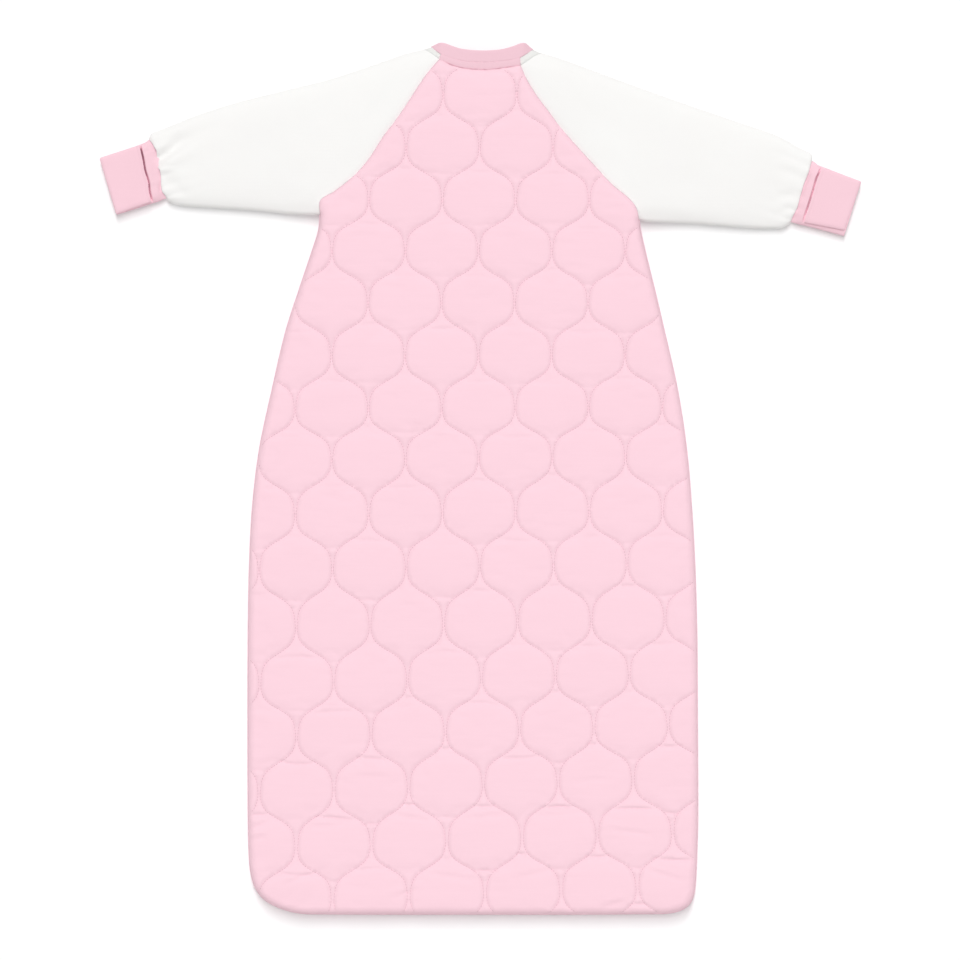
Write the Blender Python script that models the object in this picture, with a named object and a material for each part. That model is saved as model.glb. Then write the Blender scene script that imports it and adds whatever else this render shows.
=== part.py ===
"""Baby sleeping bag: a quilted bag with padded raglan sleeves, rib neckband,
fold-over mitten cuffs and a two-way front zip, lying flat on its front.

Frame: metres, +Z up. The neck points to +Y, the back of the bag faces +Z and
the zipped front rests on Z = 0. The wearer's left arm is on -X.
Sizes below are in millimetres and are scaled once, by MM.
"""

import math

import bpy
import bmesh

MM = 0.001
GAP = 0.35  # clearance between neighbouring pieces
SIDES = ((-1, "left"), (1, "right"))  # sign of x, word used in names
CREASE_ANGLE = math.radians(40)  # edges sharper than this stay hard or get bevelled

# ---------------------------------------------------------------- body outline
# side seams, hem to armpit: y, x of the left seam, x of the right seam
SIDE_SEAMS = [
    (-434.45, -172.0, 184.0), (-433.0, -182.0, 190.5), (-428.5, -202.5, 204.5),
    (-420.5, -217.5, 211.5), (-410.5, -225.5, 214.5), (-390.5, -230.5, 216.0),
    (-350.5, -232.5, 217.5), (-250.0, -232.5, 217.0), (-150.5, -232.5, 216.5),
    (-90.5, -231.5, 214.5), (-30.5, -228.5, 211.5), (29.5, -221.5, 206.5),
    (89.5, -208.5, 197.5), (149.5, -194.5, 183.5), (209.5, -174.5, 169.5),
    (249.5, -162.5, 160.5), (264.0, -160.5, 158.5),
]
# raglan seams, armpit to neck: the same columns
RAGLAN_SEAMS = [
    (282.0, -158.0, 148.5), (300.0, -130.5, 125.5), (330.0, -105.5, 99.5),
    (360.0, -84.0, 77.5), (390.0, -65.0, 54.0), (406.0, -53.5, 45.5),
    (418.5, -43.5, 40.5), (425.0, -40.0, 39.0),
]


def by_side(table):
    """A seam table as one list of (x, y) points for each side."""
    return {
        "left": [(left, y) for y, left, right in table],
        "right": [(right, y) for y, left, right in table],
    }


SIDE_SEAM = by_side(SIDE_SEAMS)
RAGLAN = by_side(RAGLAN_SEAMS)
EDGE = by_side(SIDE_SEAMS + RAGLAN_SEAMS)
ROWS = [y for x, y in EDGE["left"][:-1]]  # y of each row of a panel's grid
HEM_Y = SIDE_SEAMS[0][0]
ARMPIT_Y = SIDE_SEAMS[-1][0]

NECK_Y = {"left": 418.5, "right": 413.4}  # where the back panel meets the neck seam
NECK_FIT_Y = 390.0  # above this, rows are spaced to end at that side's neck height
BACK_NECK_SAG = 7.0
BACK_SAG_Y = (360.0, 418.0)  # the sag grows between these heights
FRONT_NECK_Y = 368.5  # front neckline at the zip
FRONT_DROP_START_Y = 200.0  # front rows start to dip towards the zip here
FRONT_DROP_POWER = 0.85
ZIP_HALF_OPENING = 12.0  # front panels stop this far from the zip's centre

EDGE_INSETS = [0.0, 5.0, 13.0, 28.0]  # columns close to a side seam
BACK_SHARES = [0.36, 0.5, 0.64]  # the other columns, as shares of the width
FRONT_SHARES = [0.45, 0.75, 1.0]
BACK_FULL_WIDTH, FRONT_FULL_WIDTH = 180.0, 90.0  # insets shrink on rows narrower than this

# ---------------------------------------------------------------- body layers
# name: finish, z range at the side seam, z range in the open panel
BACK_LAYERS = {
    "back_lining": ("lining", (12.4, 13.2), (17.2, 18.3)),
    "back_wadding": ("wadding", (13.5, 14.3), (18.6, 25.4)),
    "back_shell": ("pink_quilt", (14.6, 15.4), (25.7, 27.0)),
}
FRONT_LAYERS = {
    "front_shell": ("pink_quilt", (9.0, 9.8), (0.0, 1.2)),
    "front_wadding": ("wadding", (10.1, 10.9), (1.5, 7.5)),
    "front_lining": ("lining", (11.2, 12.0), (7.8, 8.9)),
}
FULL_INSET = EDGE_INSETS[-1]  # distance from a sewn edge to full thickness
RISE_POWER = 0.8
RAGLAN_RISE = 0.6  # how full the panel still is at the raglan seams
RAGLAN_RISE_Y = (249.0, 282.0)  # the least fullness grows from 0 between these heights
NECK_RISE = 0.7  # how full the panel still is at the neck

# seam tapes around the bag
SEAM_Z = (8.6, 15.8)
SEAM_WIDTH = 1.2
SEAM_TOP_Y = {"left": 261.5, "right": 255.0}
HEM_TURN = 5  # index of the side seam point where the hem seam ends

# ---------------------------------------------------------------- sleeves
# stations from the raglan seam to the cuff:
# (x, y) of lower edge, (x, y) of upper edge, middle height, half thickness
SLEEVE = {
    "left": [
        ((-171.5, 265.8), (-76.0, 424.6), 12.4, 9.2),
        ((-190.0, 266.5), (-100.0, 415.5), 10.6, 9.0),
        ((-215.0, 269.0), (-150.0, 400.8), 9.4, 9.0),
        ((-245.0, 271.5), (-200.0, 388.6), 9.0, 8.8),
        ((-275.0, 274.5), (-250.0, 376.0), 8.6, 8.3),
        ((-300.0, 276.5), (-290.0, 364.0), 8.0, 7.5),
        ((-314.5, 280.5), (-330.5, 341.5), 7.0, 6.3),
    ],
    "right": [
        ((167.5, 257.8), (74.5, 422.6), 12.4, 9.2),
        ((190.0, 258.5), (100.0, 413.0), 10.6, 9.0),
        ((216.0, 257.5), (150.0, 394.8), 9.4, 9.0),
        ((245.0, 254.8), (200.0, 377.2), 9.0, 8.8),
        ((270.0, 253.2), (250.0, 360.5), 8.6, 8.3),
        ((292.0, 252.8), (295.0, 343.5), 8.0, 7.5),
        ((311.0, 260.0), (332.5, 319.5), 7.0, 6.3),
    ],
}
# cuff stations from the sleeve to the cuff's end: the same columns
CUFF = {
    "left": [
        ((-314.9, 280.3), (-330.9, 341.2), 7.0, 6.0),
        ((-328.0, 276.5), (-341.0, 334.5), 7.0, 5.6),
        ((-345.0, 270.8), (-360.5, 328.5), 7.0, 5.2),
        ((-363.3, 264.9), (-380.3, 322.2), 7.0, 4.6),
    ],
    "right": [
        ((311.4, 260.1), (332.9, 319.4), 7.0, 6.0),
        ((323.5, 255.2), (343.5, 313.8), 7.0, 5.6),
        ((343.5, 249.5), (362.0, 306.2), 7.0, 5.2),
        ((363.0, 243.6), (380.3, 298.3), 7.0, 4.6),
    ],
}
SLEEVE_WALL, LINING_WALL, CUFF_WALL = 2.4, 0.9, 1.8
# a flattened tube's section: places across its width, share of the half thickness at each
WIDTH_SHARES = [0.0, 0.112, 0.224, 0.41, 0.6, 0.78, 0.882, 1.0]
HEIGHT_SHARES = [0.52, 0.86, 1.0, 1.0, 1.0, 1.0, 0.86, 0.52]
LEAST_HALF = 0.3  # a tube's half thickness never gets below this

# the shoulder wedge, between the raglan seam and the fold line
SHOULDER_LOW = (161.9, ARMPIT_Y + 0.6)  # distance from the centre, y
SHOULDER_TOP_X = 46.5
SHOULDER_TOP_Y = {"left": 421.0, "right": 417.5}
RAGLAN_CLEARANCE = 0.5
SHOULDER_MIDS = [12.4] + [13.0] * 7  # middle heights along the raglan seam
SHOULDER_HALF = 9.2
FOLD_CLEARANCE = 0.2  # wedge and sleeve each stop this far from the fold line
FOLD_Z = 26.0  # height of the line a sleeve folds over

# mitten flaps: low and high corner on the cuff's end line, then high and low at the free edge
MITT = {
    "left": ((-362.6, 265.6), (-379.4, 321.8), (-339.6, 333.6), (-326.8, 277.3)),
    "right": ((362.3, 244.4), (379.3, 297.8), (342.2, 313.2), (324.2, 256.0)),
}
MITT_Z = (13.0, 14.2)
MITT_SHARES = [0.0, 0.12, 0.5, 0.88, 1.0]  # cuts across the flap's width

# ---------------------------------------------------------------- neckband
# the rib band in order, from the zip round the left, the back and the right to the
# zip again: (x, y) of upper edge, (x, y) of lower edge
BAND_FRONT_LEFT = [
    ((-12.0, 385.0), (-12.0, 369.2)), ((-27.5, 396.5), (-21.5, 382.8)),
    ((-40.5, 412.0), (-34.0, 402.5)), ((-47.5, 430.5), (-43.0, 423.0)),
]
BAND_LEFT_TURN = [((-50.5, 432.0), (-46.0, 425.0)), ((-49.0, 434.0), (-44.5, 425.6))]
BAND_BACK = [
    ((-42.5, 436.0), (-38.5, 424.6)), ((-34.5, 435.3), (-29.5, 420.9)),
    ((-23.5, 431.5), (-22.0, 418.9)), ((-9.5, 429.5), (-9.5, 417.8)),
    ((6.5, 429.1), (6.5, 417.6)), ((21.5, 430.7), (20.0, 418.1)),
    ((31.5, 433.2), (30.0, 419.0)), ((43.5, 436.0), (37.0, 420.2)),
]
BAND_RIGHT_TURN = [((51.5, 432.5), (44.5, 422.6)), ((53.0, 431.0), (46.5, 422.4))]
BAND_FRONT_RIGHT = [
    ((50.0, 428.5), (43.5, 420.0)), ((40.5, 410.0), (32.5, 401.5)),
    ((27.5, 396.0), (21.5, 382.5)), ((12.0, 385.0), (12.0, 369.2)),
]
BAND_Z_BACK, BAND_Z_FRONT = 21.6, 3.6
BAND_HALF = 1.2  # half thickness
TURN_LIFT = 4.5  # the turns' stations lie this far above and below mid height
TURN_NORMAL = (0.9, 0.4)  # outward and vertical parts of the offset at a turn

# the strip along the back neck seam, left to right: the same columns
SEAM_BAND = [
    ((-38.0, 422.8), (-40.0, 419.2)), ((-29.5, 420.2), (-29.8, 415.0)),
    ((-22.0, 418.3), (-20.5, 412.6)), ((-9.5, 417.2), (-9.5, 411.0)),
    ((6.5, 417.0), (6.5, 410.5)), ((20.0, 417.5), (20.5, 411.4)),
    ((30.0, 418.4), (30.0, 412.9)), ((36.6, 419.6), (37.5, 414.4)),
]
SEAM_BAND_Z = (20.8, 22.6)

# ---------------------------------------------------------------- zip
ZIP_TOP, ZIP_BOTTOM = 378.0, -385.0  # ends of the chain
CHAIN_X, CHAIN_Z = (0.6, 2.7), (5.0, 7.4)
TAPE_X, TAPE_Z = (3.0, 11.6), (5.9, 6.5)
TAPE_PAST_TOP, TAPE_PAST_BOTTOM = 6.5, 16.0
TOP_STOP_END, BOTTOM_STOP_END = 3.0, 4.0  # far end of a stop, from the chain's end
STOP_BEVEL = 0.35

SLIDER_Y = {"top": 370.0, "bottom": -376.0}
SLIDER_LENGTH, SLIDER_HALF = 12.0, 5.4
SLIDER_OUTER_Z, SLIDER_INNER_Z = (3.6, 4.5), (7.9, 8.8)  # the two plates
SLIDER_MID_Z = sum(CHAIN_Z) / 2
LIP_HEIGHT, LIP_X = 1.0, 3.3  # lips run from LIP_X out to the plates' edges
WEDGE_HALF = 0.28
TAPER, TAPER_MIN_X = 0.86, 4.0  # width share at the narrow end, of points beyond this x

BRIDGE_Z = (1.3, 2.0)
BRIDGE_HALF_WIDTH = 0.9
BRIDGE_OUTER, BRIDGE_INNER = 4.6, 3.7  # half lengths outside and inside the arch
BRIDGE_ROOT = 0.5  # how deep its feet go into the plate

PULL_Z = 2.85
PULL_THICK, PULL_WIDTH, PULL_LENGTH = 1.0, 6.0, 25.0
PULL_AXIS_Y = 1.6  # the pull's axis, from the slider's centre
PULL_BAR_HALF = 0.5  # half the end bar, along y
PULL_NECK_HALF_WIDTH = 2.3
PULL_NECK_END, PULL_WIDE_START = -7.5, -12.0  # y from the slider's centre
PULL_TIP_STEPS = 8
WINDOW_HALF_WIDTH, WINDOW_END = 1.35, -6.2
WINDOW_OVERCUT = 1.0

# plain boxes: x, y and z ranges
UNDERFLAP = ((-17.0, 17.0), (-398.0, 336.0), (9.3, 10.4))
END_TAB = ((-11.4, 11.4), (-427.0, -405.5), (3.4, 5.4))
CHIN_GUARD = ((-10.5, 10.5), (386.0, 396.5), (4.2, 8.6))
CARE_LABEL = ((-214.0, -184.0), (-222.0, -192.0), (12.0, 12.4))

# ---------------------------------------------------------------- finishes
# name: base colour, roughness
FINISHES = {
    "pink_quilt": ((0.982, 0.680, 0.760), 0.85),
    "white_jersey": ((0.940, 0.935, 0.920), 0.85),
    "pink_rib": ((0.960, 0.620, 0.700), 0.88),
    "lining": ((0.930, 0.900, 0.890), 0.85),
    "wadding": ((0.950, 0.950, 0.950), 0.95),
    "zip_tape": ((0.930, 0.600, 0.690), 0.80),
    "zip_coil": ((0.940, 0.640, 0.720), 0.40),
    "zip_metal": ((0.900, 0.560, 0.650), 0.32),
    "label": ((0.950, 0.950, 0.940), 0.60),
}


# ---------------------------------------------------------------- objects
def clear_scene():
    for obj in list(bpy.data.objects):
        bpy.data.objects.remove(obj, do_unlink=True)


def make_finish(piece_name, finish):
    colour, roughness = FINISHES[finish]
    material = bpy.data.materials.new(piece_name + "_finish")
    material.use_nodes = True
    inputs = material.node_tree.nodes["Principled BSDF"].inputs
    inputs["Base Color"].default_value = (*colour, 1.0)
    inputs["Roughness"].default_value = roughness
    inputs["Metallic"].default_value = 0.0
    material.diffuse_color = (*colour, 1.0)
    return material


def place(obj, origin, parent):
    """Put an object's origin at a point of the bag's frame, which it keeps as "at"."""
    at = [c * MM for c in origin]
    obj["at"] = at
    if parent is not None:
        obj.parent = parent
        at = [own - base for own, base in zip(at, parent["at"])]
    obj.location = at


def link_mesh(name, shape, origin):
    """An object of this bmesh, scaled to metres about the given point."""
    bmesh.ops.recalc_face_normals(shape, faces=shape.faces[:])
    for vert in shape.verts:
        vert.co = [(c - start) * MM for c, start in zip(vert.co, origin)]
    mesh = bpy.data.meshes.new(name)
    shape.to_mesh(mesh)
    shape.free()
    obj = bpy.data.objects.new(name, mesh)
    bpy.context.scene.collection.objects.link(obj)
    return obj


def add_piece(name, shape, finish, origin=(0.0, 0.0, 0.0), parent=None, smooth=True):
    """A finished piece with its origin at the given point, riding on any parent."""
    obj = link_mesh(name, shape, origin)
    if smooth:
        obj.data.shade_smooth()
        obj.data.set_sharp_from_angle(angle=CREASE_ANGLE)
    place(obj, origin, parent)
    obj.data.materials.append(make_finish(name, finish))
    return obj


def add_cutter(name, shape):
    """A helper solid that joins or cuts another and isn't itself a piece."""
    obj = link_mesh(name, shape, (0.0, 0.0, 0.0))
    obj.hide_render = True
    obj.display_type = "WIRE"
    return obj


def joint_frame(name, origin, parent=None):
    """An empty that the pieces turning or sliding about this point ride on."""
    empty = bpy.data.objects.new(name, None)
    empty.empty_display_size = 0.03
    bpy.context.scene.collection.objects.link(empty)
    place(empty, origin, parent)
    return empty


def soften(obj, width, segments=2):
    bevel = obj.modifiers.new("soft_edges", "BEVEL")
    bevel.width = width * MM
    bevel.segments = segments
    bevel.limit_method = "ANGLE"
    bevel.angle_limit = CREASE_ANGLE


def boolean(obj, other, operation):
    modifier = obj.modifiers.new(operation.lower(), "BOOLEAN")
    modifier.operation = operation
    modifier.solver = "EXACT"
    modifier.object = other


# ---------------------------------------------------------------- plan geometry
def between(start, end, share):
    return tuple(a + (b - a) * share for a, b in zip(start, end))


def toward(start, end, distance):
    return between(start, end, distance / math.dist(start, end))


def ramp(value, start, end):
    """0 up to start, 1 from end on, straight in between."""
    return min(max((value - start) / (end - start), 0.0), 1.0)


def x_on(edge, y):
    """x on an edge at this y, by straight lines between its points."""
    for (x0, y0), (x1, y1) in zip(edge, edge[1:]):
        if y <= y1:
            return x0 + (x1 - x0) * (y - y0) / (y1 - y0)
    return edge[-1][0]


def offset_path(points, distance):
    """The polyline moved to its right-hand side, with mitred corners."""
    moved = []
    for i, (x, y) in enumerate(points):
        normals = []
        for a, b in ((i - 1, i), (i, i + 1)):
            if 0 <= a and b < len(points):
                run_x, run_y = points[b][0] - points[a][0], points[b][1] - points[a][1]
                length = math.hypot(run_x, run_y)
                normals.append((run_y / length, -run_x / length))
        mean_x = sum(n[0] for n in normals) / len(normals)
        mean_y = sum(n[1] for n in normals) / len(normals)
        mitre = distance / (mean_x * mean_x + mean_y * mean_y)
        moved.append((x + mean_x * mitre, y + mean_y * mitre))
    return moved


# ---------------------------------------------------------------- solids
def box(*ranges):
    """A box from its x, y and z ranges."""
    shape = bmesh.new()
    bmesh.ops.create_cube(shape, size=1.0)
    for vert in shape.verts:
        vert.co = [low if c < 0 else high for c, (low, high) in zip(vert.co, ranges)]
    return shape


def prism(outline, axis, start, end):
    """An outline in the plane across an axis (0, 1 or 2), extruded along that axis."""
    shape = bmesh.new()
    corners = [(*point[:axis], start, *point[axis:]) for point in outline]
    face = shape.faces.new([shape.verts.new(corner) for corner in corners])
    made = bmesh.ops.extrude_face_region(shape, geom=[face])
    for item in made["geom"]:
        if isinstance(item, bmesh.types.BMVert):
            item.co[axis] = end
    return shape


def skin(loops_of_points):
    """Skin a row of equal loops of points and cap its two ends."""
    shape = bmesh.new()
    loops = [[shape.verts.new(point) for point in loop] for loop in loops_of_points]
    count = len(loops[0])
    for a, b in zip(loops, loops[1:]):
        for k in range(count):
            after = (k + 1) % count
            shape.faces.new((a[k], a[after], b[after], b[k]))
    shape.faces.new(loops[0][::-1])
    shape.faces.new(loops[-1])
    return shape


def flat_strip(pairs, z_range):
    """A closed flat strip through pairs of (x, y) points on its two edges."""
    z0, z1 = z_range
    return skin([((*a, z0), (*b, z0), (*b, z1), (*a, z1)) for a, b in pairs])


def band(stations, half):
    """A band of fabric: stations are (upper edge, lower edge, middle height, normal)."""
    loops = []
    for upper, lower, z, normal in stations:
        loops.append([
            tuple(c + sign * half * n for c, n in zip((*point, z), normal))
            for point, sign in ((upper, 1), (lower, 1), (lower, -1), (upper, -1))
        ])
    return skin(loops)


def sheet(plan, heights):
    """A closed sheet over a grid of (x, y) points with a (z0, z1) at each."""
    shape = bmesh.new()
    upper, lower = {}, {}
    for i, row in enumerate(plan):
        for j, point in enumerate(row):
            z0, z1 = heights[i][j]
            lower[i, j] = shape.verts.new((*point, z0))
            upper[i, j] = shape.verts.new((*point, z1))
    last_row, last_col = len(plan) - 1, len(plan[0]) - 1
    for i in range(last_row):
        for j in range(last_col):
            a, b, c, d = (i, j), (i, j + 1), (i + 1, j + 1), (i + 1, j)
            shape.faces.new((upper[a], upper[b], upper[c]))
            shape.faces.new((upper[a], upper[c], upper[d]))
            shape.faces.new((lower[a], lower[c], lower[b]))
            shape.faces.new((lower[a], lower[d], lower[c]))
    rim = [(0, j) for j in range(last_col + 1)]
    rim += [(i, last_col) for i in range(1, last_row + 1)]
    rim += [(last_row, j) for j in range(last_col - 1, -1, -1)]
    rim += [(i, 0) for i in range(last_row - 1, 0, -1)]
    for a, b in zip(rim, rim[1:] + rim[:1]):
        shape.faces.new((lower[a], lower[b], upper[b], upper[a]))
    return shape


# ---------------------------------------------------------------- body panels
def fit_to_neck(y, neck_y):
    """A row's y on a side whose neck end is at neck_y."""
    if y <= NECK_FIT_Y:
        return y
    return NECK_FIT_Y + (y - NECK_FIT_Y) * (neck_y - NECK_FIT_Y) / (NECK_Y["left"] - NECK_FIT_Y)


def back_plan():
    """Grid of (x, y) points over the back, hem to neck and left to right."""
    plan = []
    for y_left in ROWS:
        y_right = fit_to_neck(y_left, NECK_Y["right"])
        x_left, x_right = x_on(EDGE["left"], y_left), x_on(EDGE["right"], y_right)
        width = x_right - x_left
        scale = min(1.0, width / BACK_FULL_WIDTH)
        near = [inset * scale / width for inset in EDGE_INSETS]
        row = []
        for share in near + BACK_SHARES + [1.0 - s for s in near[::-1]]:
            y = y_left + (y_right - y_left) * share
            # the neckline dips between the raglan seams
            y -= BACK_NECK_SAG * ramp(y, *BACK_SAG_Y) ** 2 * (1.0 - (2.0 * share - 1.0) ** 2)
            row.append((x_left + width * share, y))
        plan.append(row)
    return plan


def front_plan(side, word):
    """Grid of (x, y) points over half the front, hem to neck and side seam to zip."""
    neck_y = NECK_Y[word]
    plan = []
    for row_y in ROWS:
        y_out = fit_to_neck(row_y, neck_y)
        x_out = abs(x_on(EDGE[word], y_out))
        width = x_out - ZIP_HALF_OPENING
        scale = min(1.0, width / FRONT_FULL_WIDTH)
        near = [inset * scale / width for inset in EDGE_INSETS]
        lowered = ramp(y_out, FRONT_DROP_START_Y, neck_y)
        row = []
        for share in near + FRONT_SHARES:
            drop = (neck_y - FRONT_NECK_Y) * share ** FRONT_DROP_POWER
            row.append((side * (x_out - width * share), y_out - drop * lowered))
        plan.append(row)
    return plan


def rise(inset):
    """Share of the full thickness reached this far in from a sewn edge."""
    return math.sin(ramp(inset, 0.0, FULL_INSET) * math.pi / 2.0) ** RISE_POWER


def fullness(x, y, neck_y):
    """How full the bag is at a point: 0 on a side seam, 1 in the open panel."""
    y_at = min(y, NECK_Y["left"])
    to_side = min(x - x_on(EDGE["left"], y_at), x_on(EDGE["right"], y_at) - x)
    above = ramp(y, *RAGLAN_RISE_Y)
    least = RAGLAN_RISE * above * above * (3.0 - 2.0 * above)
    share = least + (1.0 - least) * rise(to_side)
    share = min(share, rise(y - HEM_Y))
    return min(share, NECK_RISE + (1.0 - NECK_RISE) * rise(neck_y - y))


def make_panel(name, layer, plan):
    finish, at_seam, in_panel = layer
    neckline = [y for x, y in plan[-1]]
    heights = [
        [between(at_seam, in_panel, fullness(x, y, neck_y))
         for (x, y), neck_y in zip(row, neckline)]
        for row in plan
    ]
    add_piece(name, sheet(plan, heights), finish)


def make_panels():
    plan = back_plan()
    for name, layer in BACK_LAYERS.items():
        make_panel(name, layer, plan)
    for side, word in SIDES:
        plan = front_plan(side, word)
        for name, layer in FRONT_LAYERS.items():
            make_panel(f"{name}_{word}", layer, plan)


def make_seam(name, path):
    """A seam tape just outside a path that has the outside on its right hand."""
    near, far = offset_path(path, GAP), offset_path(path, GAP + SEAM_WIDTH)
    add_piece(name, flat_strip(zip(near, far), SEAM_Z), "pink_quilt")


def make_seams():
    left, right = (
        SIDE_SEAM[word][:-1] + [(x_on(EDGE[word], SEAM_TOP_Y[word]), SEAM_TOP_Y[word])]
        for side, word in SIDES
    )
    hem = left[HEM_TURN::-1] + right[:HEM_TURN + 1]
    hem[0], hem[-1] = toward(hem[0], hem[1], GAP), toward(hem[-1], hem[-2], GAP)
    make_seam("side_seam_left", left[HEM_TURN:][::-1])
    make_seam("hem_seam", hem)
    make_seam("side_seam_right", right[HEM_TURN:])


# ---------------------------------------------------------------- sleeves
def section_of(station):
    """A station as a tube section: points across its width, their heights, half thickness."""
    low, high, mid, half = station
    return [between(low, high, w) for w in WIDTH_SHARES], [mid] * len(WIDTH_SHARES), half


def tube_ring(section, depth):
    """The closed ring of a tube section, this deep under its outer surface."""
    points, mids, half = section
    points = list(points)
    points[0] = toward(points[0], points[1], depth)
    points[-1] = toward(points[-1], points[-2], depth)
    upper, lower = [], []
    for point, mid, share in zip(points, mids, HEIGHT_SHARES):
        height = max(half * share - depth, LEAST_HALF)
        upper.append((*point, mid + height))
        lower.append((*point, mid - height))
    return upper + lower[::-1]


def tube(sections, wall, depth=0.0):
    """An open-ended flattened tube with a wall, through its sections."""
    shape = bmesh.new()
    outer, inner = (
        [[shape.verts.new(point) for point in tube_ring(section, at)] for section in sections]
        for at in (depth, depth + wall)
    )
    count = len(outer[0])
    for rings in (outer, inner):
        for a, b in zip(rings, rings[1:]):
            for k in range(count):
                after = (k + 1) % count
                # the same diagonal in every layer, so nested walls never cross
                shape.faces.new((a[k], a[after], b[after]))
                shape.faces.new((a[k], b[after], b[k]))
    for a, b in ((outer[0], inner[0]), (outer[-1], inner[-1])):
        for k in range(count):
            after = (k + 1) % count
            shape.faces.new((a[k], a[after], b[after], b[k]))
    return shape


def fold_section(side, word, distance):
    """The sleeve's first section, moved outward from the fold line."""
    low, high, mid, half = SLEEVE[word][0]
    step = side * distance / math.dist(low, high)
    move_x, move_y = (high[1] - low[1]) * step, (low[0] - high[0]) * step
    moved = [(x + move_x, y + move_y) for x, y in (low, high)]
    return section_of((*moved, mid, half))


def make_lined_tube(name, lining_name, sections, **riding):
    """A jersey tube and the lining just inside it."""
    add_piece(name, tube(sections, SLEEVE_WALL), "white_jersey", **riding)
    add_piece(lining_name, tube(sections, LINING_WALL, SLEEVE_WALL + GAP), "lining", **riding)


def make_shoulder(side, word):
    """The wedge between the raglan seam and the line the sleeve folds on."""
    low_x, low_y = SHOULDER_LOW
    seam = [
        (side * low_x, low_y),
        *((x + side * RAGLAN_CLEARANCE, y) for x, y in RAGLAN[word][:-2]),
        (side * SHOULDER_TOP_X, SHOULDER_TOP_Y[word]),
    ]
    sections = [(seam, SHOULDER_MIDS, SHOULDER_HALF), fold_section(side, word, -FOLD_CLEARANCE)]
    make_lined_tube(f"shoulder_{word}", f"shoulder_lining_{word}", sections)


def make_arm(side, word):
    """Sleeve and cuff, which turn on the fold line."""
    low, high = SLEEVE[word][0][:2]
    hinge = (*between(low, high, 0.5), FOLD_Z)
    frame = joint_frame(f"fold_axis_{word}", hinge)
    sections = [fold_section(side, word, FOLD_CLEARANCE), *map(section_of, SLEEVE[word][1:])]
    make_lined_tube(f"sleeve_{word}", f"sleeve_lining_{word}", sections,
                    origin=hinge, parent=frame)
    cuff = tube([section_of(station) for station in CUFF[word]], CUFF_WALL)
    add_piece(f"cuff_{word}", cuff, "pink_rib", hinge, frame)
    return frame


def make_mitt(word, arm_frame):
    """The mitten flap, which turns on the end of the cuff."""
    low, high, free_high, free_low = MITT[word]
    end = (*between(low, high, 0.5), sum(MITT_Z) / 2)
    frame = joint_frame(f"mitt_axis_{word}", end, arm_frame)
    cuts = [(between(low, high, s), between(free_low, free_high, s)) for s in MITT_SHARES]
    add_piece(f"mitt_{word}", flat_strip(cuts, MITT_Z), "pink_rib", end, frame)


# ---------------------------------------------------------------- neck
def level(pairs, z, up):
    """Band stations at one height; up is the sign of the normal."""
    return [(upper, lower, z, (0, 0, up)) for upper, lower in pairs]


def turn(pairs, side, lifts):
    """Band stations where the band turns over; lifts are +1 above mid height, -1 below."""
    mid = (BAND_Z_BACK + BAND_Z_FRONT) / 2
    out, rising = TURN_NORMAL
    return [
        (upper, lower, mid + lift * TURN_LIFT, (side * out, 0, lift * rising))
        for (upper, lower), lift in zip(pairs, lifts)
    ]


def make_neck():
    stations = (
        level(BAND_FRONT_LEFT, BAND_Z_FRONT, -1)
        + turn(BAND_LEFT_TURN, -1, (-1, 1))
        + level(BAND_BACK, BAND_Z_BACK, 1)
        + turn(BAND_RIGHT_TURN, 1, (1, -1))
        + level(BAND_FRONT_RIGHT, BAND_Z_FRONT, -1)
    )
    add_piece("neckband", band(stations, BAND_HALF), "pink_rib")
    z0, z1 = SEAM_BAND_Z
    seam = band(level(SEAM_BAND, (z0 + z1) / 2, 1), (z1 - z0) / 2)
    add_piece("neck_seam_band", seam, "pink_quilt")


# ---------------------------------------------------------------- zip
def make_slider(word):
    """Two plates with lips, joined by a thin wedge between the chains, and a
    bridge under the outer plate that holds the pull."""
    y = SLIDER_Y[word]
    (outer0, outer1), (inner0, inner1) = SLIDER_OUTER_Z, SLIDER_INNER_Z
    half = [
        (SLIDER_HALF, outer0), (SLIDER_HALF, outer1 + LIP_HEIGHT),
        (LIP_X, outer1 + LIP_HEIGHT), (LIP_X, outer1), (WEDGE_HALF, outer1),
        (WEDGE_HALF, inner0), (LIP_X, inner0), (LIP_X, inner0 - LIP_HEIGHT),
        (SLIDER_HALF, inner0 - LIP_HEIGHT), (SLIDER_HALF, inner1),
    ]
    profile = half + [(-x, z) for x, z in half[::-1]]
    centre = (0.0, y, SLIDER_MID_Z)
    frame = joint_frame(f"slide_axis_{word}", centre)
    body = prism(profile, 1, y - SLIDER_LENGTH / 2, y + SLIDER_LENGTH / 2)
    slider = add_piece(f"zip_slider_{word}", body, "zip_metal", centre, frame, smooth=False)
    # the plates narrow at their -Y end
    for vert in slider.data.vertices:
        if vert.co.y < 0 and abs(vert.co.x) > TAPER_MIN_X * MM:
            vert.co.x *= TAPER
    root = outer0 + BRIDGE_ROOT
    arch = [
        (y - BRIDGE_OUTER, root), (y - BRIDGE_OUTER, BRIDGE_Z[0]),
        (y + BRIDGE_OUTER, BRIDGE_Z[0]), (y + BRIDGE_OUTER, root),
        (y + BRIDGE_INNER, root), (y + BRIDGE_INNER, BRIDGE_Z[1]),
        (y - BRIDGE_INNER, BRIDGE_Z[1]), (y - BRIDGE_INNER, root),
    ]
    bridge = prism(arch, 0, -BRIDGE_HALF_WIDTH, BRIDGE_HALF_WIDTH)
    boolean(slider, add_cutter(f"bridge_{word}", bridge), "UNION")
    return frame


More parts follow.
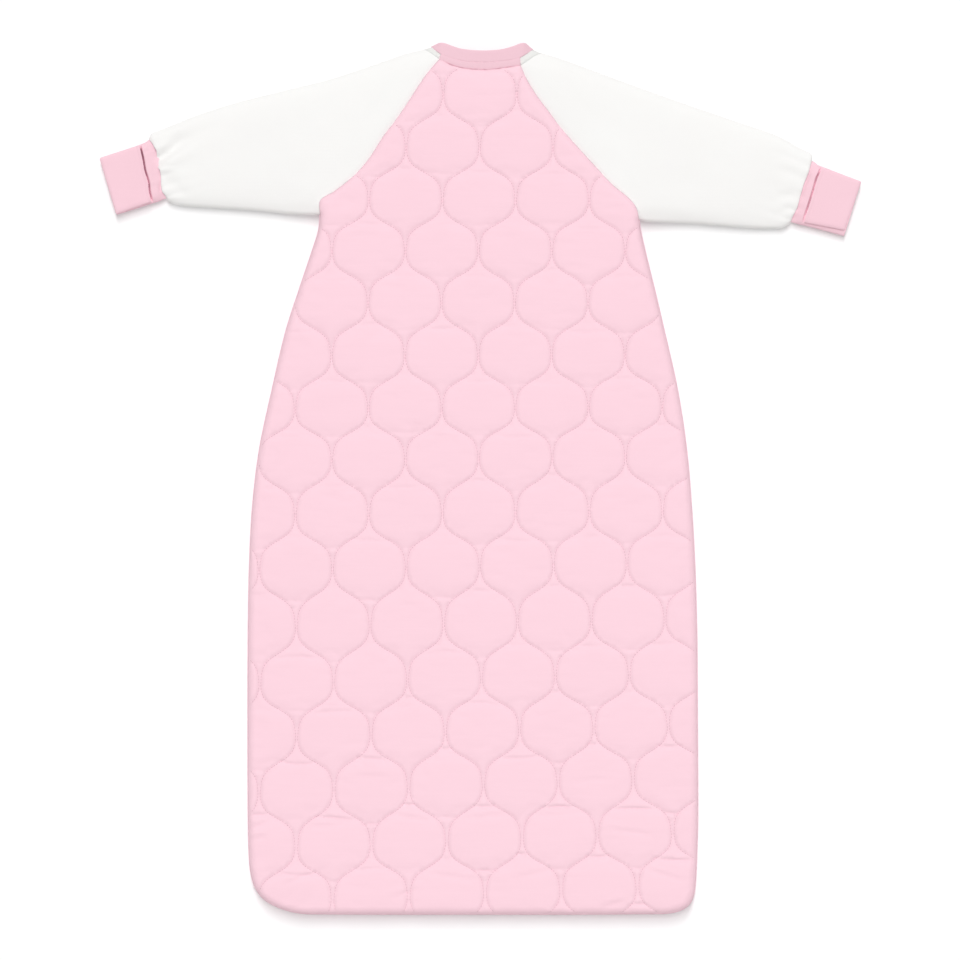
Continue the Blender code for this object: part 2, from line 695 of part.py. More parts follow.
def make_pull(word, slider_frame):
    """The pull, which hangs on its end bar under the slider's bridge."""
    y = SLIDER_Y[word]
    axis_y = y + PULL_AXIS_Y
    axis = (0.0, axis_y, PULL_Z)
    frame = joint_frame(f"pull_axis_{word}", axis, slider_frame)
    z0, z1 = PULL_Z - PULL_THICK / 2, PULL_Z + PULL_THICK / 2
    neck, radius = PULL_NECK_HALF_WIDTH, PULL_WIDTH / 2
    top, tip_y = axis_y + PULL_BAR_HALF, axis_y - PULL_LENGTH + radius
    outline = [(-neck, top), (neck, top), (neck, y + PULL_NECK_END), (radius, y + PULL_WIDE_START)]
    for k in range(PULL_TIP_STEPS + 1):
        angle = math.pi * k / PULL_TIP_STEPS
        outline.append((radius * math.cos(angle), tip_y - radius * math.sin(angle)))
    outline += [(-radius, y + PULL_WIDE_START), (-neck, y + PULL_NECK_END)]
    pull = add_piece(f"zip_pull_{word}", prism(outline, 2, z0, z1), "zip_metal",
                     axis, frame, smooth=False)
    window = box((-WINDOW_HALF_WIDTH, WINDOW_HALF_WIDTH),
                 (y + WINDOW_END, axis_y - PULL_BAR_HALF),
                 (z0 - WINDOW_OVERCUT, z1 + WINDOW_OVERCUT))
    boolean(pull, add_cutter(f"window_{word}", window), "DIFFERENCE")


def make_chain():
    """Tapes, teeth and the stops at the chain's ends."""
    for side, word in SIDES:
        tape_x = sorted(side * x for x in TAPE_X)
        chain_x = sorted(side * x for x in CHAIN_X)
        tape_y = (ZIP_BOTTOM - TAPE_PAST_BOTTOM, ZIP_TOP + TAPE_PAST_TOP)
        add_piece(f"zip_tape_{word}", box(tape_x, tape_y, TAPE_Z), "zip_tape")
        add_piece(f"zip_teeth_{word}", box(chain_x, (ZIP_BOTTOM, ZIP_TOP), CHAIN_Z), "zip_coil")
        stop = box(chain_x, (ZIP_TOP + GAP, ZIP_TOP + TOP_STOP_END), CHAIN_Z)
        soften(add_piece(f"zip_top_stop_{word}", stop, "zip_metal"), STOP_BEVEL)
    stop = box((-CHAIN_X[1], CHAIN_X[1]), (ZIP_BOTTOM - BOTTOM_STOP_END, ZIP_BOTTOM - GAP), CHAIN_Z)
    soften(add_piece("zip_bottom_stop", stop, "zip_metal"), STOP_BEVEL)


def make_zip_fabric():
    """The flap behind the chain, the tab below it and the chin guard above it."""
    soften(add_piece("zip_underflap", box(*UNDERFLAP), "lining"), width=0.4)
    soften(add_piece("zip_end_tab", box(*END_TAB), "pink_quilt"), width=0.6)
    soften(add_piece("zip_chin_guard", box(*CHIN_GUARD), "pink_rib"), width=1.2)


def make_label():
    """The care label inside the bag, near the left side seam."""
    soften(add_piece("care_label", box(*CARE_LABEL), "label"), width=0.15, segments=1)


def main():
    clear_scene()
    make_panels()
    make_seams()
    for side, word in SIDES:
        make_shoulder(side, word)
        make_mitt(word, make_arm(side, word))
    make_neck()
    make_chain()
    for word in SLIDER_Y:
        make_pull(word, make_slider(word))
    make_zip_fabric()
    make_label()
    bpy.context.view_layer.update()


main()
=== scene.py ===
"""Looks of a baby sleeping bag: quilted panels, padded jersey sleeves, rib
neckband, fold-over cuffs and the two-way zip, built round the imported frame.

The bag lies on its front: its back faces up (+Z), its neck points to +Y, the
hem to -Y, and its left side is at -X. Lengths are in millimetres in the
frame's axes until a mesh is made.
"""

import math
import random

import bpy
import bmesh
import numpy as np
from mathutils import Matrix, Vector, bvhtree, geometry, kdtree, noise


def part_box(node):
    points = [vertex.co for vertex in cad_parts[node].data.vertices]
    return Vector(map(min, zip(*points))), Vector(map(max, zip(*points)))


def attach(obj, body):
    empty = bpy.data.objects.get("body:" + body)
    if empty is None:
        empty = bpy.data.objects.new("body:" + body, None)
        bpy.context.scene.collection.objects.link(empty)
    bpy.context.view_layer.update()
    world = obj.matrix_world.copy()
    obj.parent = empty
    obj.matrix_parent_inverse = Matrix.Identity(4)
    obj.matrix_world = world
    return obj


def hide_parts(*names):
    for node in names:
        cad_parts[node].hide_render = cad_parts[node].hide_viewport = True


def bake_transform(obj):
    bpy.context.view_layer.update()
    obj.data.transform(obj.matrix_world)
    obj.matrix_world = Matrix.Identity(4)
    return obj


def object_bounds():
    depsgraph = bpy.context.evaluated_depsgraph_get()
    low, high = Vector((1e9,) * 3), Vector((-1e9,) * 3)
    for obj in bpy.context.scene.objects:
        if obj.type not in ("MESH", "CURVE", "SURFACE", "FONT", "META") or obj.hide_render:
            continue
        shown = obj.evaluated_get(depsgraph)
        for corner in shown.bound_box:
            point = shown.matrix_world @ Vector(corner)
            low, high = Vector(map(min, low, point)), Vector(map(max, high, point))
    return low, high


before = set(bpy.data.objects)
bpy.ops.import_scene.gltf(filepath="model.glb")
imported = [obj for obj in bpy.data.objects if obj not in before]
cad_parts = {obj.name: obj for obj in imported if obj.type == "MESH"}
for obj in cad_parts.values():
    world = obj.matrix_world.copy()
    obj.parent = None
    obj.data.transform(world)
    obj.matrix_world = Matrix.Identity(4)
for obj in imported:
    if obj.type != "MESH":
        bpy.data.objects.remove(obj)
CAD_LOW, CAD_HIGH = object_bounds()
MM = 0.001
SIGN = {"left": -1, "right": 1}  # the side of x = 0 each word stands for

SHELL = 0.9  # thickness of the outer cloth
CURVE = 3.0  # spacing of points along a panel's outline
FINE = 0.7  # spacing of points along rows that distances are measured to
PANEL_SPACING = 3.2
MID_X = -0.5  # the bag's centre line

# heights
TOP_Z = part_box("back_shell")[1].z / MM
SIDE_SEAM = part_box("side_seam_left")
SEAM_MID = (SIDE_SEAM[0].z + SIDE_SEAM[1].z) / 2 / MM + 0.8
RAGLAN_Z = 20.2
NECK_Z = 20.6
FRONT_SEAM_Z = 12.0
SEAM_ROLL_Z = 12.55


# -------------------------------------------------------------------- curves
def unit_rows(vectors):
    return vectors / np.linalg.norm(vectors, axis=1)[:, None]


def tangents(path):
    return unit_rows(np.gradient(path, axis=0))


def left_normals(along):
    return np.stack([-along[:, 1], along[:, 0]], axis=1)


def run_of(points):
    """Distance travelled along a row of points, at each of them."""
    return np.concatenate([[0], np.cumsum(np.linalg.norm(np.diff(points, axis=0), axis=1))])


def points_at(points, run, places):
    columns = range(points.shape[1])
    return np.stack([np.interp(places, run, points[:, k]) for k in columns], axis=1)


def along_polyline(points, shares):
    """Points at these shares of a polyline's length."""
    points = np.asarray(points, float)
    run = run_of(points)
    return points_at(points, run, np.asarray(shares) * run[-1])


def mixed(first, second, start, end, time):
    return (end - time) / (end - start) * first + (time - start) / (end - start) * second


def spline(points, step):
    """Points every `step` along a centripetal Catmull-Rom curve."""
    knots = [np.array(point, float) for point in points]
    knots = [2 * knots[0] - knots[1]] + knots + [2 * knots[-1] - knots[-2]]
    curve = []
    for i in range(1, len(knots) - 2):
        near = knots[i - 1 : i + 3]
        times = [0.0]
        for before, after in zip(near, near[1:]):
            times.append(times[-1] + max(np.linalg.norm(after - before), 1e-6) ** 0.5)
        time = np.linspace(times[1], times[2], 24, endpoint=False)[:, None]
        lines = [mixed(near[k], near[k + 1], times[k], times[k + 1], time) for k in range(3)]
        bends = [mixed(lines[k], lines[k + 1], times[k], times[k + 2], time) for k in range(2)]
        curve.append(mixed(bends[0], bends[1], times[1], times[2], time))
    curve = np.concatenate(curve + [knots[-2][None]])
    run = run_of(curve)
    count = max(2, int(round(run[-1] / step)))
    return points_at(curve, run, np.linspace(0, run[-1], count + 1))


def spline_at(points, shares):
    """Catmull-Rom points at these shares of the curve's length."""
    return along_polyline(spline(points, 0.8), shares)


def cosine_spaced(count):
    """Shares from 0 to 1 that crowd together at both ends."""
    return 0.5 - 0.5 * np.cos(np.linspace(0, math.pi, count))


def chained(*parts):
    """Rows of points end to end, without the repeated points between them."""
    out = [parts[0]]
    for part in parts[1:]:
        meets = np.linalg.norm(part[0] - out[-1][-1]) < 1e-6
        out.append(part[1:] if meets else part)
    return np.concatenate(out)


def closed_loop(*parts):
    """A counter-clockwise outline from rows of points."""
    loop = chained(*parts)
    if np.linalg.norm(loop[0] - loop[-1]) < 1e-6:
        loop = loop[:-1]
    after = np.roll(loop, -1, axis=0)
    area = np.sum(loop[:, 0] * after[:, 1] - after[:, 0] * loop[:, 1])
    return loop if area > 0 else loop[::-1]


# ------------------------------------------------------------------ outlines
# each table holds (x, y) points; sides run from the hem to the underarm,
# raglans from the underarm to the neck
SIDES = {
    "left": [(-172.0, -434.6), (-186.0, -433.0), (-202.5, -428.0), (-216.5, -420.0),
             (-225.5, -408.0), (-230.3, -390.0), (-231.8, -368.0), (-232.4, -340.0),
             (-232.7, -250.0), (-232.4, -150.0), (-231.3, -90.0), (-228.4, -30.5),
             (-221.3, 29.5), (-208.6, 89.5), (-194.5, 149.5), (-181.6, 189.5),
             (-168.2, 229.5), (-162.0, 249.5), (-160.6, 265.0)],
    "right": [(183.0, -434.4), (194.5, -432.8), (203.5, -429.5), (209.8, -424.0),
              (213.6, -414.0), (215.3, -398.0), (216.3, -375.0), (217.2, -345.0),
              (217.0, -250.0), (216.3, -150.0), (214.6, -90.0), (211.4, -30.5),
              (206.3, 29.5), (197.2, 89.5), (183.8, 149.5), (174.4, 189.5),
              (164.6, 229.5), (160.2, 249.5), (158.6, 260.0)],
}
RAGLANS = {
    "left": [(-160.6, 265.0), (-160.2, 279.0), (-146.5, 287.8), (-126.8, 303.5),
             (-112.4, 319.5), (-96.8, 343.5), (-84.6, 359.5), (-73.6, 375.5),
             (-62.0, 393.5), (-51.8, 408.0), (-40.6, 420.6)],
    "right": [(158.6, 260.0), (155.8, 271.5), (149.5, 280.0), (131.0, 295.5),
              (116.2, 311.5), (101.4, 327.5), (80.4, 351.5), (68.4, 367.5),
              (56.4, 383.5), (46.6, 399.5), (40.0, 414.2)],
}
BACK_NECK = [(-40.6, 420.6), (-29.5, 414.6), (-19.5, 411.8), (1.5, 409.6),
             (21.5, 411.3), (40.0, 414.2)]
FRONT_NECKS = {
    "left": [(-40.6, 420.6), (-34.5, 401.0), (-22.0, 382.0), (-7.0, 368.5)],
    "right": [(7.0, 368.5), (22.0, 381.0), (33.5, 399.0), (40.0, 414.2)],
}
HEM_Y = -434.9
HEM = [SIDES["left"][0], (-100.0, HEM_Y), (0.0, HEM_Y), (100.0, HEM_Y), SIDES["right"][0]]

side_curves = {word: spline(SIDES[word], CURVE) for word in SIGN}
raglan_curves = {word: spline(RAGLANS[word], CURVE) for word in SIGN}
side_fine = np.concatenate([spline(points, FINE) for points in (*SIDES.values(), HEM)])
raglan_fine = np.concatenate([spline(points, FINE) for points in RAGLANS.values()])
neck_fine = spline(BACK_NECK, FINE)


# ---------------------------------------------------------- quilting pattern
# The stitch lines run down the bag in pairs that pinch together at each row.
# Here "down" is -y, tilted a little so that rows slope across the bag.
ROWS_DOWN = [-489.5, -435.5, -382.5, -329.5, -277.5, -226.5, -174.5, -121.5, -69.5, -19.5,
             35.5, 88.5, 145.5, 200.5, 253.5, 307.5, 362.5, 415.5, 469.5]
FIRST_ROW = -2  # number of the first row, for which lines meet there
LINES = range(-7, 7)
LINE_DOWN = (-459.5, 466.5)  # where the stitch lines start and end


def pinch_gap(down):
    """Distance between two lines where they pinch, wider towards the hem."""
    return np.interp(down, [-29.5, 220.5, 380.5], [1.3, 1.8, 2.7])


def column_x(number, down):
    """Centre of a column of pinches."""
    drift = np.interp(down, [-382.5, -174.5, 35.5, 200.5, 362.5, 469.5],
                      [0.0, -2.0, -1.0, 1.5, 4.5, 5.5])
    pitch = np.interp(down, [-382.5, -226.5, 35.5, 200.5, 362.5, 469.5],
                      [36.8, 36.6, 36.7, 36.9, 37.6, 38.6])
    return MID_X + drift + number * pitch


def row_slope(down, x):
    """How far a row of pinches has shifted at x, from its place on the centre line."""
    tilt = np.interp(down, [-179.5, 120.5, 320.5, 469.5], [0.0, 4.0, 8.0, 9.0])
    return tilt * (x - MID_X) / 220.0


def down_at(x, y):
    return row_slope(-y, x) - y


def y_at(x, down):
    return row_slope(down, x) - down


def crossing(share):
    """How far a line has swung from one column to the next, part way between rows."""

    def swing(at):
        return np.tanh((at - 0.435) / 0.185)

    eased = (swing(share) - swing(0.0)) / (swing(1.0) - swing(0.0))
    return 0.95 * eased + 0.05 * share


def line_x(line, down):
    """x of a stitch line; it swings between columns `line` and `line + 1`."""
    down = np.asarray(down, float)
    rows = np.array(ROWS_DOWN)
    i = np.clip(np.searchsorted(rows, down, side="right") - 1, 0, len(rows) - 2)
    share = np.clip((down - rows[i]) / (rows[i + 1] - rows[i]), 0, 1)

    def x_in(row):
        number = np.where((line + row) % 2 != 0, line, line + 1)
        toward = np.where(number == line, 0.5, -0.5)
        return column_x(number, down) + toward * pinch_gap(down)

    above, below = x_in(i + FIRST_ROW), x_in(i + FIRST_ROW + 1)
    return above + (below - above) * crossing(share)


def line_points(line, step):
    """The stitch line as evenly spaced (x, y) points from the neck to the hem."""
    down = np.arange(*LINE_DOWN, 0.4)
    x = line_x(line, down)
    points = np.stack([x, y_at(x, down)], axis=1)
    run = run_of(points)
    return points_at(points, run, np.arange(0, run[-1], step))


def line_distance(xy):
    """Distance to the nearest stitch line, to first order."""
    x, y = xy[:, 0], xy[:, 1]
    down = down_at(x, y)
    best = np.full(x.shape, 1e9)
    for line in LINES:
        slope = line_x(line, down + 0.5) - line_x(line, down - 0.5)
        best = np.minimum(best, np.abs(x - line_x(line, down)) / np.sqrt(1.0 + slope**2))
    return best


def chord_table():
    """Small folds that cross each neck of the pattern, deeper towards the hem:
    centre x and y, half width, slope, bow, depth and the side the fold leans to."""
    rnd = random.Random(11)
    out = []
    for i, row_down in enumerate(ROWS_DOWN):
        for number in range(-7, 8):
            if (number + i + FIRST_ROW) % 2 == 0:
                continue
            for side in (-1, 1):
                off = rnd.uniform(19.0, 28.0)
                if rnd.random() < 0.25:
                    off = rnd.uniform(12.0, 18.0)
                down = row_down + side * off
                x = float(column_x(number, down))
                y = float(y_at(x, down))
                grow = float(np.interp(down, [-379.5, 40.5, 220.5, 320.5], [0.6, 0.55, 1.2, 2.1]))
                deep = rnd.uniform(0.35, 1.1) * grow
                slope = rnd.uniform(-0.07, 0.07)
                bow = rnd.uniform(-0.007, 0.007)
                half = min(abs(float(line_x(line, down)) - x) for line in LINES)
                if half > 5.0:
                    out.append((x, y, min(half * 1.02, 19.0), slope, bow, deep, side))
    return out


CHORDS = chord_table()


# ----------------------------------------------------------------- distances
def nearest(points, xy):
    """For each xy, (place, index, distance) of the nearest of a row of points."""
    tree = kdtree.KDTree(len(points))
    for k, point in enumerate(points):
        tree.insert((point[0], point[1], 0.0), k)
    tree.balance()
    return [tree.find((x, y, 0.0)) for x, y in xy]


def distance_to(points, xy):
    return np.array([found[2] for found in nearest(points, xy)])


def segment_field(xy, start, end):
    """Distance from a segment and the share along it, for each point."""
    start, end = np.array(start, float), np.array(end, float)
    span = end - start
    share = np.clip(((xy - start) @ span) / (span @ span), -0.15, 1.15)
    near = start + share[:, None] * span
    return np.linalg.norm(xy - near, axis=1), np.clip(share, 0, 1)


def ell(share):
    """Quarter ellipse that rises steeply from 0 and levels off at 1."""
    share = np.clip(share, 0.0, 1.0)
    return np.sqrt(1.0 - (1.0 - share) ** 2)


def gauss(offset, width):
    return np.exp(-((offset / width) ** 2))


def soft_noise(x, y, size, seed):
    return np.array([noise.noise(Vector((p / size, q / size, seed))) for p, q in zip(x, y)])


def inside(loop, xy):
    """Even-odd test of points against a closed outline."""
    x, y = xy[:, 0], xy[:, 1]
    hit = np.zeros(len(xy), bool)
    for (x0, y0), (x1, y1) in zip(loop, np.roll(loop, -1, axis=0)):
        crosses = (y0 > y) != (y1 > y)
        if not crosses.any():
            continue
        with np.errstate(divide="ignore", invalid="ignore"):
            edge_x = (x1 - x0) * (y - y0) / (y1 - y0) + x0
        hit ^= crosses & (x < edge_x)
    return hit


# ------------------------------------------------------------------- meshing
def mesh_object(name, verts, faces):
    mesh = bpy.data.meshes.new(name)
    mesh.from_pydata([tuple(v) for v in np.asarray(verts, float) * MM], [], faces)
    mesh.validate()
    mesh.shade_smooth()
    obj = bpy.data.objects.new(name, mesh)
    bpy.context.scene.collection.objects.link(obj)
    return obj


def grid_faces(rows, cols):
    starts = [r * cols + c for r in range(rows - 1) for c in range(cols - 1)]
    return [(a, a + 1, a + cols + 1, a + cols) for a in starts]


def ring_faces(rings, sides, base=0):
    """Quads between rings of points."""
    faces = []
    for k in range(rings - 1):
        for i in range(sides):
            a, b = base + k * sides + i, base + k * sides + (i + 1) % sides
            faces.append((a, b, b + sides, a + sides))
    return faces


def cord_faces(rings, sides, base=0):
    """Quads between rings of points, and a cap at each end."""
    last = base + (rings - 1) * sides
    faces = ring_faces(rings, sides, base)
    faces.append(tuple(range(base, base + sides))[::-1])
    faces.append(tuple(range(last, last + sides)))
    return faces


def face_out(obj):
    """Turns the faces of a tube outward."""
    mesh = obj.data
    places = np.empty(len(mesh.vertices) * 3)
    mesh.vertices.foreach_get("co", places)
    places = places.reshape(-1, 3)
    places = places - places.mean(0)
    mesh.calc_loop_triangles()
    corners = np.empty(len(mesh.loop_triangles) * 3, np.int32)
    mesh.loop_triangles.foreach_get("vertices", corners)
    first, second, third = (places[corners.reshape(-1, 3)[:, k]] for k in range(3))
    if np.sum(first * np.cross(second, third)) < 0:
        mesh.flip_normals()
    return obj


def face_up(obj):
    """Turns the faces of an open sheet upward."""
    obj.data.update()
    if sum(face.normal.z for face in obj.data.polygons) < 0:
        obj.data.flip_normals()


def ring_mesh(name, grid, flip=False):
    """An open tube from a grid of points: [ring, place round the ring]."""
    faces = ring_faces(*grid.shape[:2])
    if flip:
        faces = [(a, d, c, b) for a, b, c, d in faces]
    return face_out(mesh_object(name, grid.reshape(-1, 3), faces))


def cap_ends(obj, rings, sides):
    mesh = obj.data
    work = bmesh.new()
    work.from_mesh(mesh)
    work.verts.ensure_lookup_table()
    for start in (0, (rings - 1) * sides):
        work.faces.new([work.verts[start + i] for i in range(sides)])
    bmesh.ops.recalc_face_normals(work, faces=work.faces[:])
    work.to_mesh(mesh)
    work.free()
    mesh.shade_smooth()


def offset_ring(loop, by):
    """The points of a counter-clockwise loop, moved inward."""
    along = unit_rows(np.roll(loop, -1, axis=0) - np.roll(loop, 1, axis=0))
    return loop + left_normals(along) * by


def quartered(loop):
    """The loop with each of its edges cut in four."""
    return np.concatenate([start + (end - start) * np.linspace(0, 1, 5)[:-1, None]
                           for start, end in zip(loop, np.roll(loop, -1, axis=0))])


def inset_loop(loop, by):
    ring = offset_ring(loop, by)
    return ring[inside(loop, ring) & (distance_to(quartered(loop), ring) > by * 0.8)]


def chord_points():
    """Three rows of points along each small fold."""
    rows = []
    for x, y, wide, slope, bow, _, _ in CHORDS:
        dx = np.arange(-wide - 1.0, wide + 1.1, 2.6)
        for off in (-1.5, 0.0, 1.5):
            rows.append(np.stack([x + dx, y + slope * dx + bow * dx * dx + off], axis=1))
    return np.concatenate(rows)


def jittered_grid(loop, spacing):
    low, high = loop.min(0), loop.max(0)
    rows = []
    for k, y in enumerate(np.arange(low[1], high[1], spacing * 0.866)):
        xs = np.arange(low[0] + (k % 2) * spacing / 2, high[0], spacing)
        rows.append(np.stack([xs, np.full(len(xs), y)], axis=1))
    grid = np.concatenate(rows)
    return grid + np.random.RandomState(3).uniform(-0.12, 0.12, grid.shape) * spacing


def triangulated(loop, spacing, ring_insets, with_lines=True, with_chords=False):
    """Triangles inside the outline, with edges along every stitch line."""
    dense = []
    for start, end in zip(loop, np.roll(loop, -1, axis=0)):
        cuts = max(1, int(np.linalg.norm(end - start) / 0.7))
        dense.append(start + (end - start) * (np.arange(cuts) / cuts)[:, None])
    dense = np.concatenate(dense)
    parts = [loop]
    edges = [(k, (k + 1) % len(loop)) for k in range(len(loop))]
    for by in ring_insets:
        ring = offset_ring(loop, by)
        parts.append(ring[inside(loop, ring) & (distance_to(dense, ring) > by * 0.85)])
    margin = ring_insets[-1] * 1.15 + 0.6
    if with_lines:
        step = min(2.8, spacing)
        count = sum(len(part) for part in parts)
        for line in LINES:
            row = line_points(line, step)
            kept = inside(loop, row) & (distance_to(dense, row) > margin)
            index = (count + np.cumsum(kept) - 1).tolist()
            edges += [(index[k - 1], index[k]) for k in range(1, len(row))
                      if kept[k - 1] and kept[k]]
            parts.append(row[kept])
            count += int(kept.sum())
        # a row of points close by on either side keeps the stitched valley narrow
        for line in LINES:
            middle = line_points(line, step * 1.1)
            normal = left_normals(tangents(middle))
            for off in (-0.95, 0.95):
                row = middle + normal * off
                kept = inside(loop, row) & (line_distance(row) > 0.75)
                parts.append(row[kept & (distance_to(dense, row) > margin)])
    if with_chords:
        chords = chord_points()
        chords = chords[inside(loop, chords)]
        chords = chords[(distance_to(dense, chords) > margin + 1.0)
                        & (line_distance(chords) > 2.2)]
        parts.append(chords)
    grid = jittered_grid(loop, spacing)
    grid = grid[inside(loop, grid)]
    grid = grid[distance_to(dense, grid) > margin + spacing * 0.3]
    if with_lines:
        grid = grid[line_distance(grid) > 1.35 + spacing * 0.42]
    if with_chords:
        grid = grid[distance_to(chords, grid) > 1.7]
    parts.append(grid)
    points = [Vector(point) for point in np.concatenate(parts)]
    out = geometry.delaunay_2d_cdt(points, edges, [list(range(len(loop)))], 1, 1e-5)
    return np.array([tuple(v) for v in out[0]]), [tuple(face) for face in out[2]]


def slab(name, verts, faces, upper, lower):
    """A closed body between two height fields over the same triangles."""
    count = len(verts)
    sides = dict.fromkeys(pair for face in faces for pair in zip(face, face[1:] + face[:1]))
    rim = [(a, b) for a, b in sides if (b, a) not in sides]
    top = np.column_stack([verts, upper])
    bottom = np.column_stack([verts, np.minimum(lower, upper - 0.15)])
    every = list(faces) + [tuple(count + k for k in face[::-1]) for face in faces]
    every += [(b, a, count + a, count + b) for a, b in rim]
    return mesh_object(name, np.concatenate([top, bottom]), every)


def tube(name, path, wide, tall, sides=8):
    """A rounded cord along a path; wide and tall are its radii."""
    path = np.asarray(path, float)
    along = tangents(path)
    across = unit_rows(np.cross(along, np.array([0.0, 0.0, 1.0])))
    up = np.cross(across, along)
    verts = []
    for p, s, u in zip(path, across, up):
        for i in range(sides):
            turn = 2 * math.pi * i / sides
            verts.append(p + s * math.cos(turn) * wide + u * math.sin(turn) * tall)
    return mesh_object(name, verts, cord_faces(len(path), sides))


def stitches(name, paths, length, gap, radius, sides=5):
    """Separate thread stitches, slightly arched, along 3-D paths."""
    verts, faces = [], []
    for path in paths:
        run = run_of(path)
        for begin in np.arange(0.0, run[-1] - length, length + gap):
            places = np.array([begin, begin + length * 0.5, begin + length])
            points = points_at(path, run, places)
            along = points[2] - points[0]
            along /= np.linalg.norm(along)
            across = np.cross(along, [0, 0, 1.0])
            across /= np.linalg.norm(across)
            up = np.cross(across, along)
            faces += cord_faces(3, sides, len(verts))
            # thinner at the ends, which dip into the cloth
            for point, swell, lift in zip(points, (0.45, 1.0, 0.45), (-0.22, 0.08, -0.22)):
                for i in range(sides):
                    turn = 2 * math.pi * i / sides
                    spoke = across * math.cos(turn) + up * math.sin(turn)
                    verts.append(point + up * lift + spoke * radius * swell)
    return mesh_object(name, verts, faces)


def finish_piece(obj, material, body, slot, *replaced):
    """Gives a piece its material, hangs it from its body and hides the frame's parts
    that it replaces. A piece that bends between two bodies has no body here."""
    obj.data.materials.append(material)
    if body:
        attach(obj, body)
    if replaced:
        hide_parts(*replaced)


def thicken(obj, thickness):
    mod = obj.modifiers.new("cloth_thickness", "SOLIDIFY")
    mod.thickness = thickness * MM
    mod.offset = -1.0
    mod.use_even_offset = False


def round_edges(obj, name, width, degrees):
    mod = obj.modifiers.new(name, "BEVEL")
    mod.width = width * MM
    mod.segments = 2
    mod.limit_method = "ANGLE"
    mod.angle_limit = math.radians(degrees)


# ----------------------------------------------------------------- materials
class Surface:
    """A node material under construction round a Principled shader."""

    def __init__(self, name, textured=True):
        self.material = bpy.data.materials.new(name)
        self.material.use_nodes = True
        self.tree = self.material.node_tree
        self.tree.nodes.clear()
        output = self.add("OutputMaterial")
        self.bsdf = self.add("BsdfPrincipled")
        self.fill(output, {0: self.bsdf.outputs[0]})
        if textured:
            self.where = self.add("TexCoord").outputs["Object"]

    def add(self, kind, inputs=(), **settings):
        node = self.tree.nodes.new("ShaderNode" + kind)
        for key, value in settings.items():
            setattr(node, key, value)
        self.fill(node, inputs)
        return node

    def fill(self, node, inputs):
        """Links sockets and sets plain values."""
        for key, value in dict(inputs).items():
            if isinstance(value, bpy.types.NodeSocket):
                self.tree.links.new(value, node.inputs[key])
            else:
                node.inputs[key].default_value = value

    def stretched(self, *scale):
        return self.add("Mapping", {"Scale": scale, "Vector": self.where}).outputs[0]

    def noise(self, scale, detail, stretch=None):
        node = self.add("TexNoise", {"Scale": scale, "Detail": detail})
        self.fill(node, {"Vector": self.stretched(*stretch) if stretch else self.where})
        return node.outputs["Fac"]

    def math(self, operation, first, second):
        return self.add("Math", {0: first, 1: second}, operation=operation).outputs[0]

    def weighted(self, first, first_share, second, second_share):
        return self.math("ADD", self.math("MULTIPLY", first, first_share),
                         self.math("MULTIPLY", second, second_share))

    def bump(self, height, strength, distance):
        node = self.add("Bump", {"Strength": strength, "Distance": distance, "Height": height})
        self.fill(self.bsdf, {"Normal": node.outputs["Normal"]})

    def roughen(self, grain, rough, spread):
        """Roughness that wanders either side of `rough` with the grain."""
        node = self.add("MapRange", {"To Min": max(0.0, rough - spread),
                                     "To Max": min(1.0, rough + spread), "Value": grain})
        self.fill(self.bsdf, {"Roughness": node.outputs["Result"]})


def fabric(name, colour, rough, mottle, weave=2300.0, weave_depth=0.25, slub=0.0,
           sheen=0.25, knit=False, fuzz=0.35, distance=0.00025):
    """Cloth: a fine weave or knit in the bump, slow colour mottle, optional
    slub streaks across the cloth, and sheen."""
    cloth = Surface(name)
    cloth.fill(cloth.bsdf, {
        "Roughness": rough,
        "Sheen Weight": sheen,
        "Sheen Roughness": 0.55,
        "Sheen Tint": (*colour, 1.0),
        "Specular IOR Level": 0.25,
    })
    # colour
    tone = cloth.weighted(cloth.noise(scale=16.0, detail=4.0), 0.7,
                          cloth.noise(scale=900.0, detail=2.0), 0.3)
    if slub:
        streaks = cloth.weighted(
            cloth.noise(scale=1.0, detail=3.0, stretch=(28.0, 620.0, 28.0)), 0.6,
            cloth.noise(scale=1.0, detail=2.0, stretch=(9.0, 210.0, 9.0)), 0.4)
        tone = cloth.weighted(tone, 0.45, streaks, 0.55)
        slub_height = cloth.math("MULTIPLY", streaks, slub)
    ramp = cloth.add("ValToRGB", {"Fac": tone})
    dark, light = ramp.color_ramp.elements
    dark.position, light.position = 0.3, 0.7
    # the dark tone loses more green and blue than red
    dark.color = (*[max(0.0, c * (1.0 - mottle * (1.0 + 0.6 * (k > 0))))
                    for k, c in enumerate(colour)], 1.0)
    light.color = (*[min(1.0, c * (1.0 + mottle * 0.7)) for c in colour], 1.0)
    cloth.fill(cloth.bsdf, {"Base Color": ramp.outputs["Color"]})
    # thread structure
    threads = []
    for direction, per_metre in (("X", weave), ("Y", weave * (0.55 if knit else 1.0))):
        wave = cloth.add("TexWave", {
            "Scale": 1.0,
            "Distortion": 1.2 if knit else 0.6,
            "Detail": 1.0,
            "Detail Scale": 0.4,
        }, wave_type="BANDS", bands_direction=direction)
        cloth.fill(wave, {"Vector": cloth.stretched(*[per_metre / 6.283] * 3)})
        threads.append(wave.outputs["Fac"])
    crossed = cloth.math("MULTIPLY" if knit else "MAXIMUM", *threads)
    fluff = cloth.noise(scale=1500.0, detail=3.0)
    height = cloth.weighted(crossed, weave_depth, fluff, fuzz)
    if slub:
        height = cloth.math("ADD", height, slub_height)
    cloth.bump(height, strength=0.5, distance=distance)
    cloth.roughen(fluff, rough, spread=0.08)
    cloth.material.diffuse_color = (*colour, 1.0)
    return cloth.material


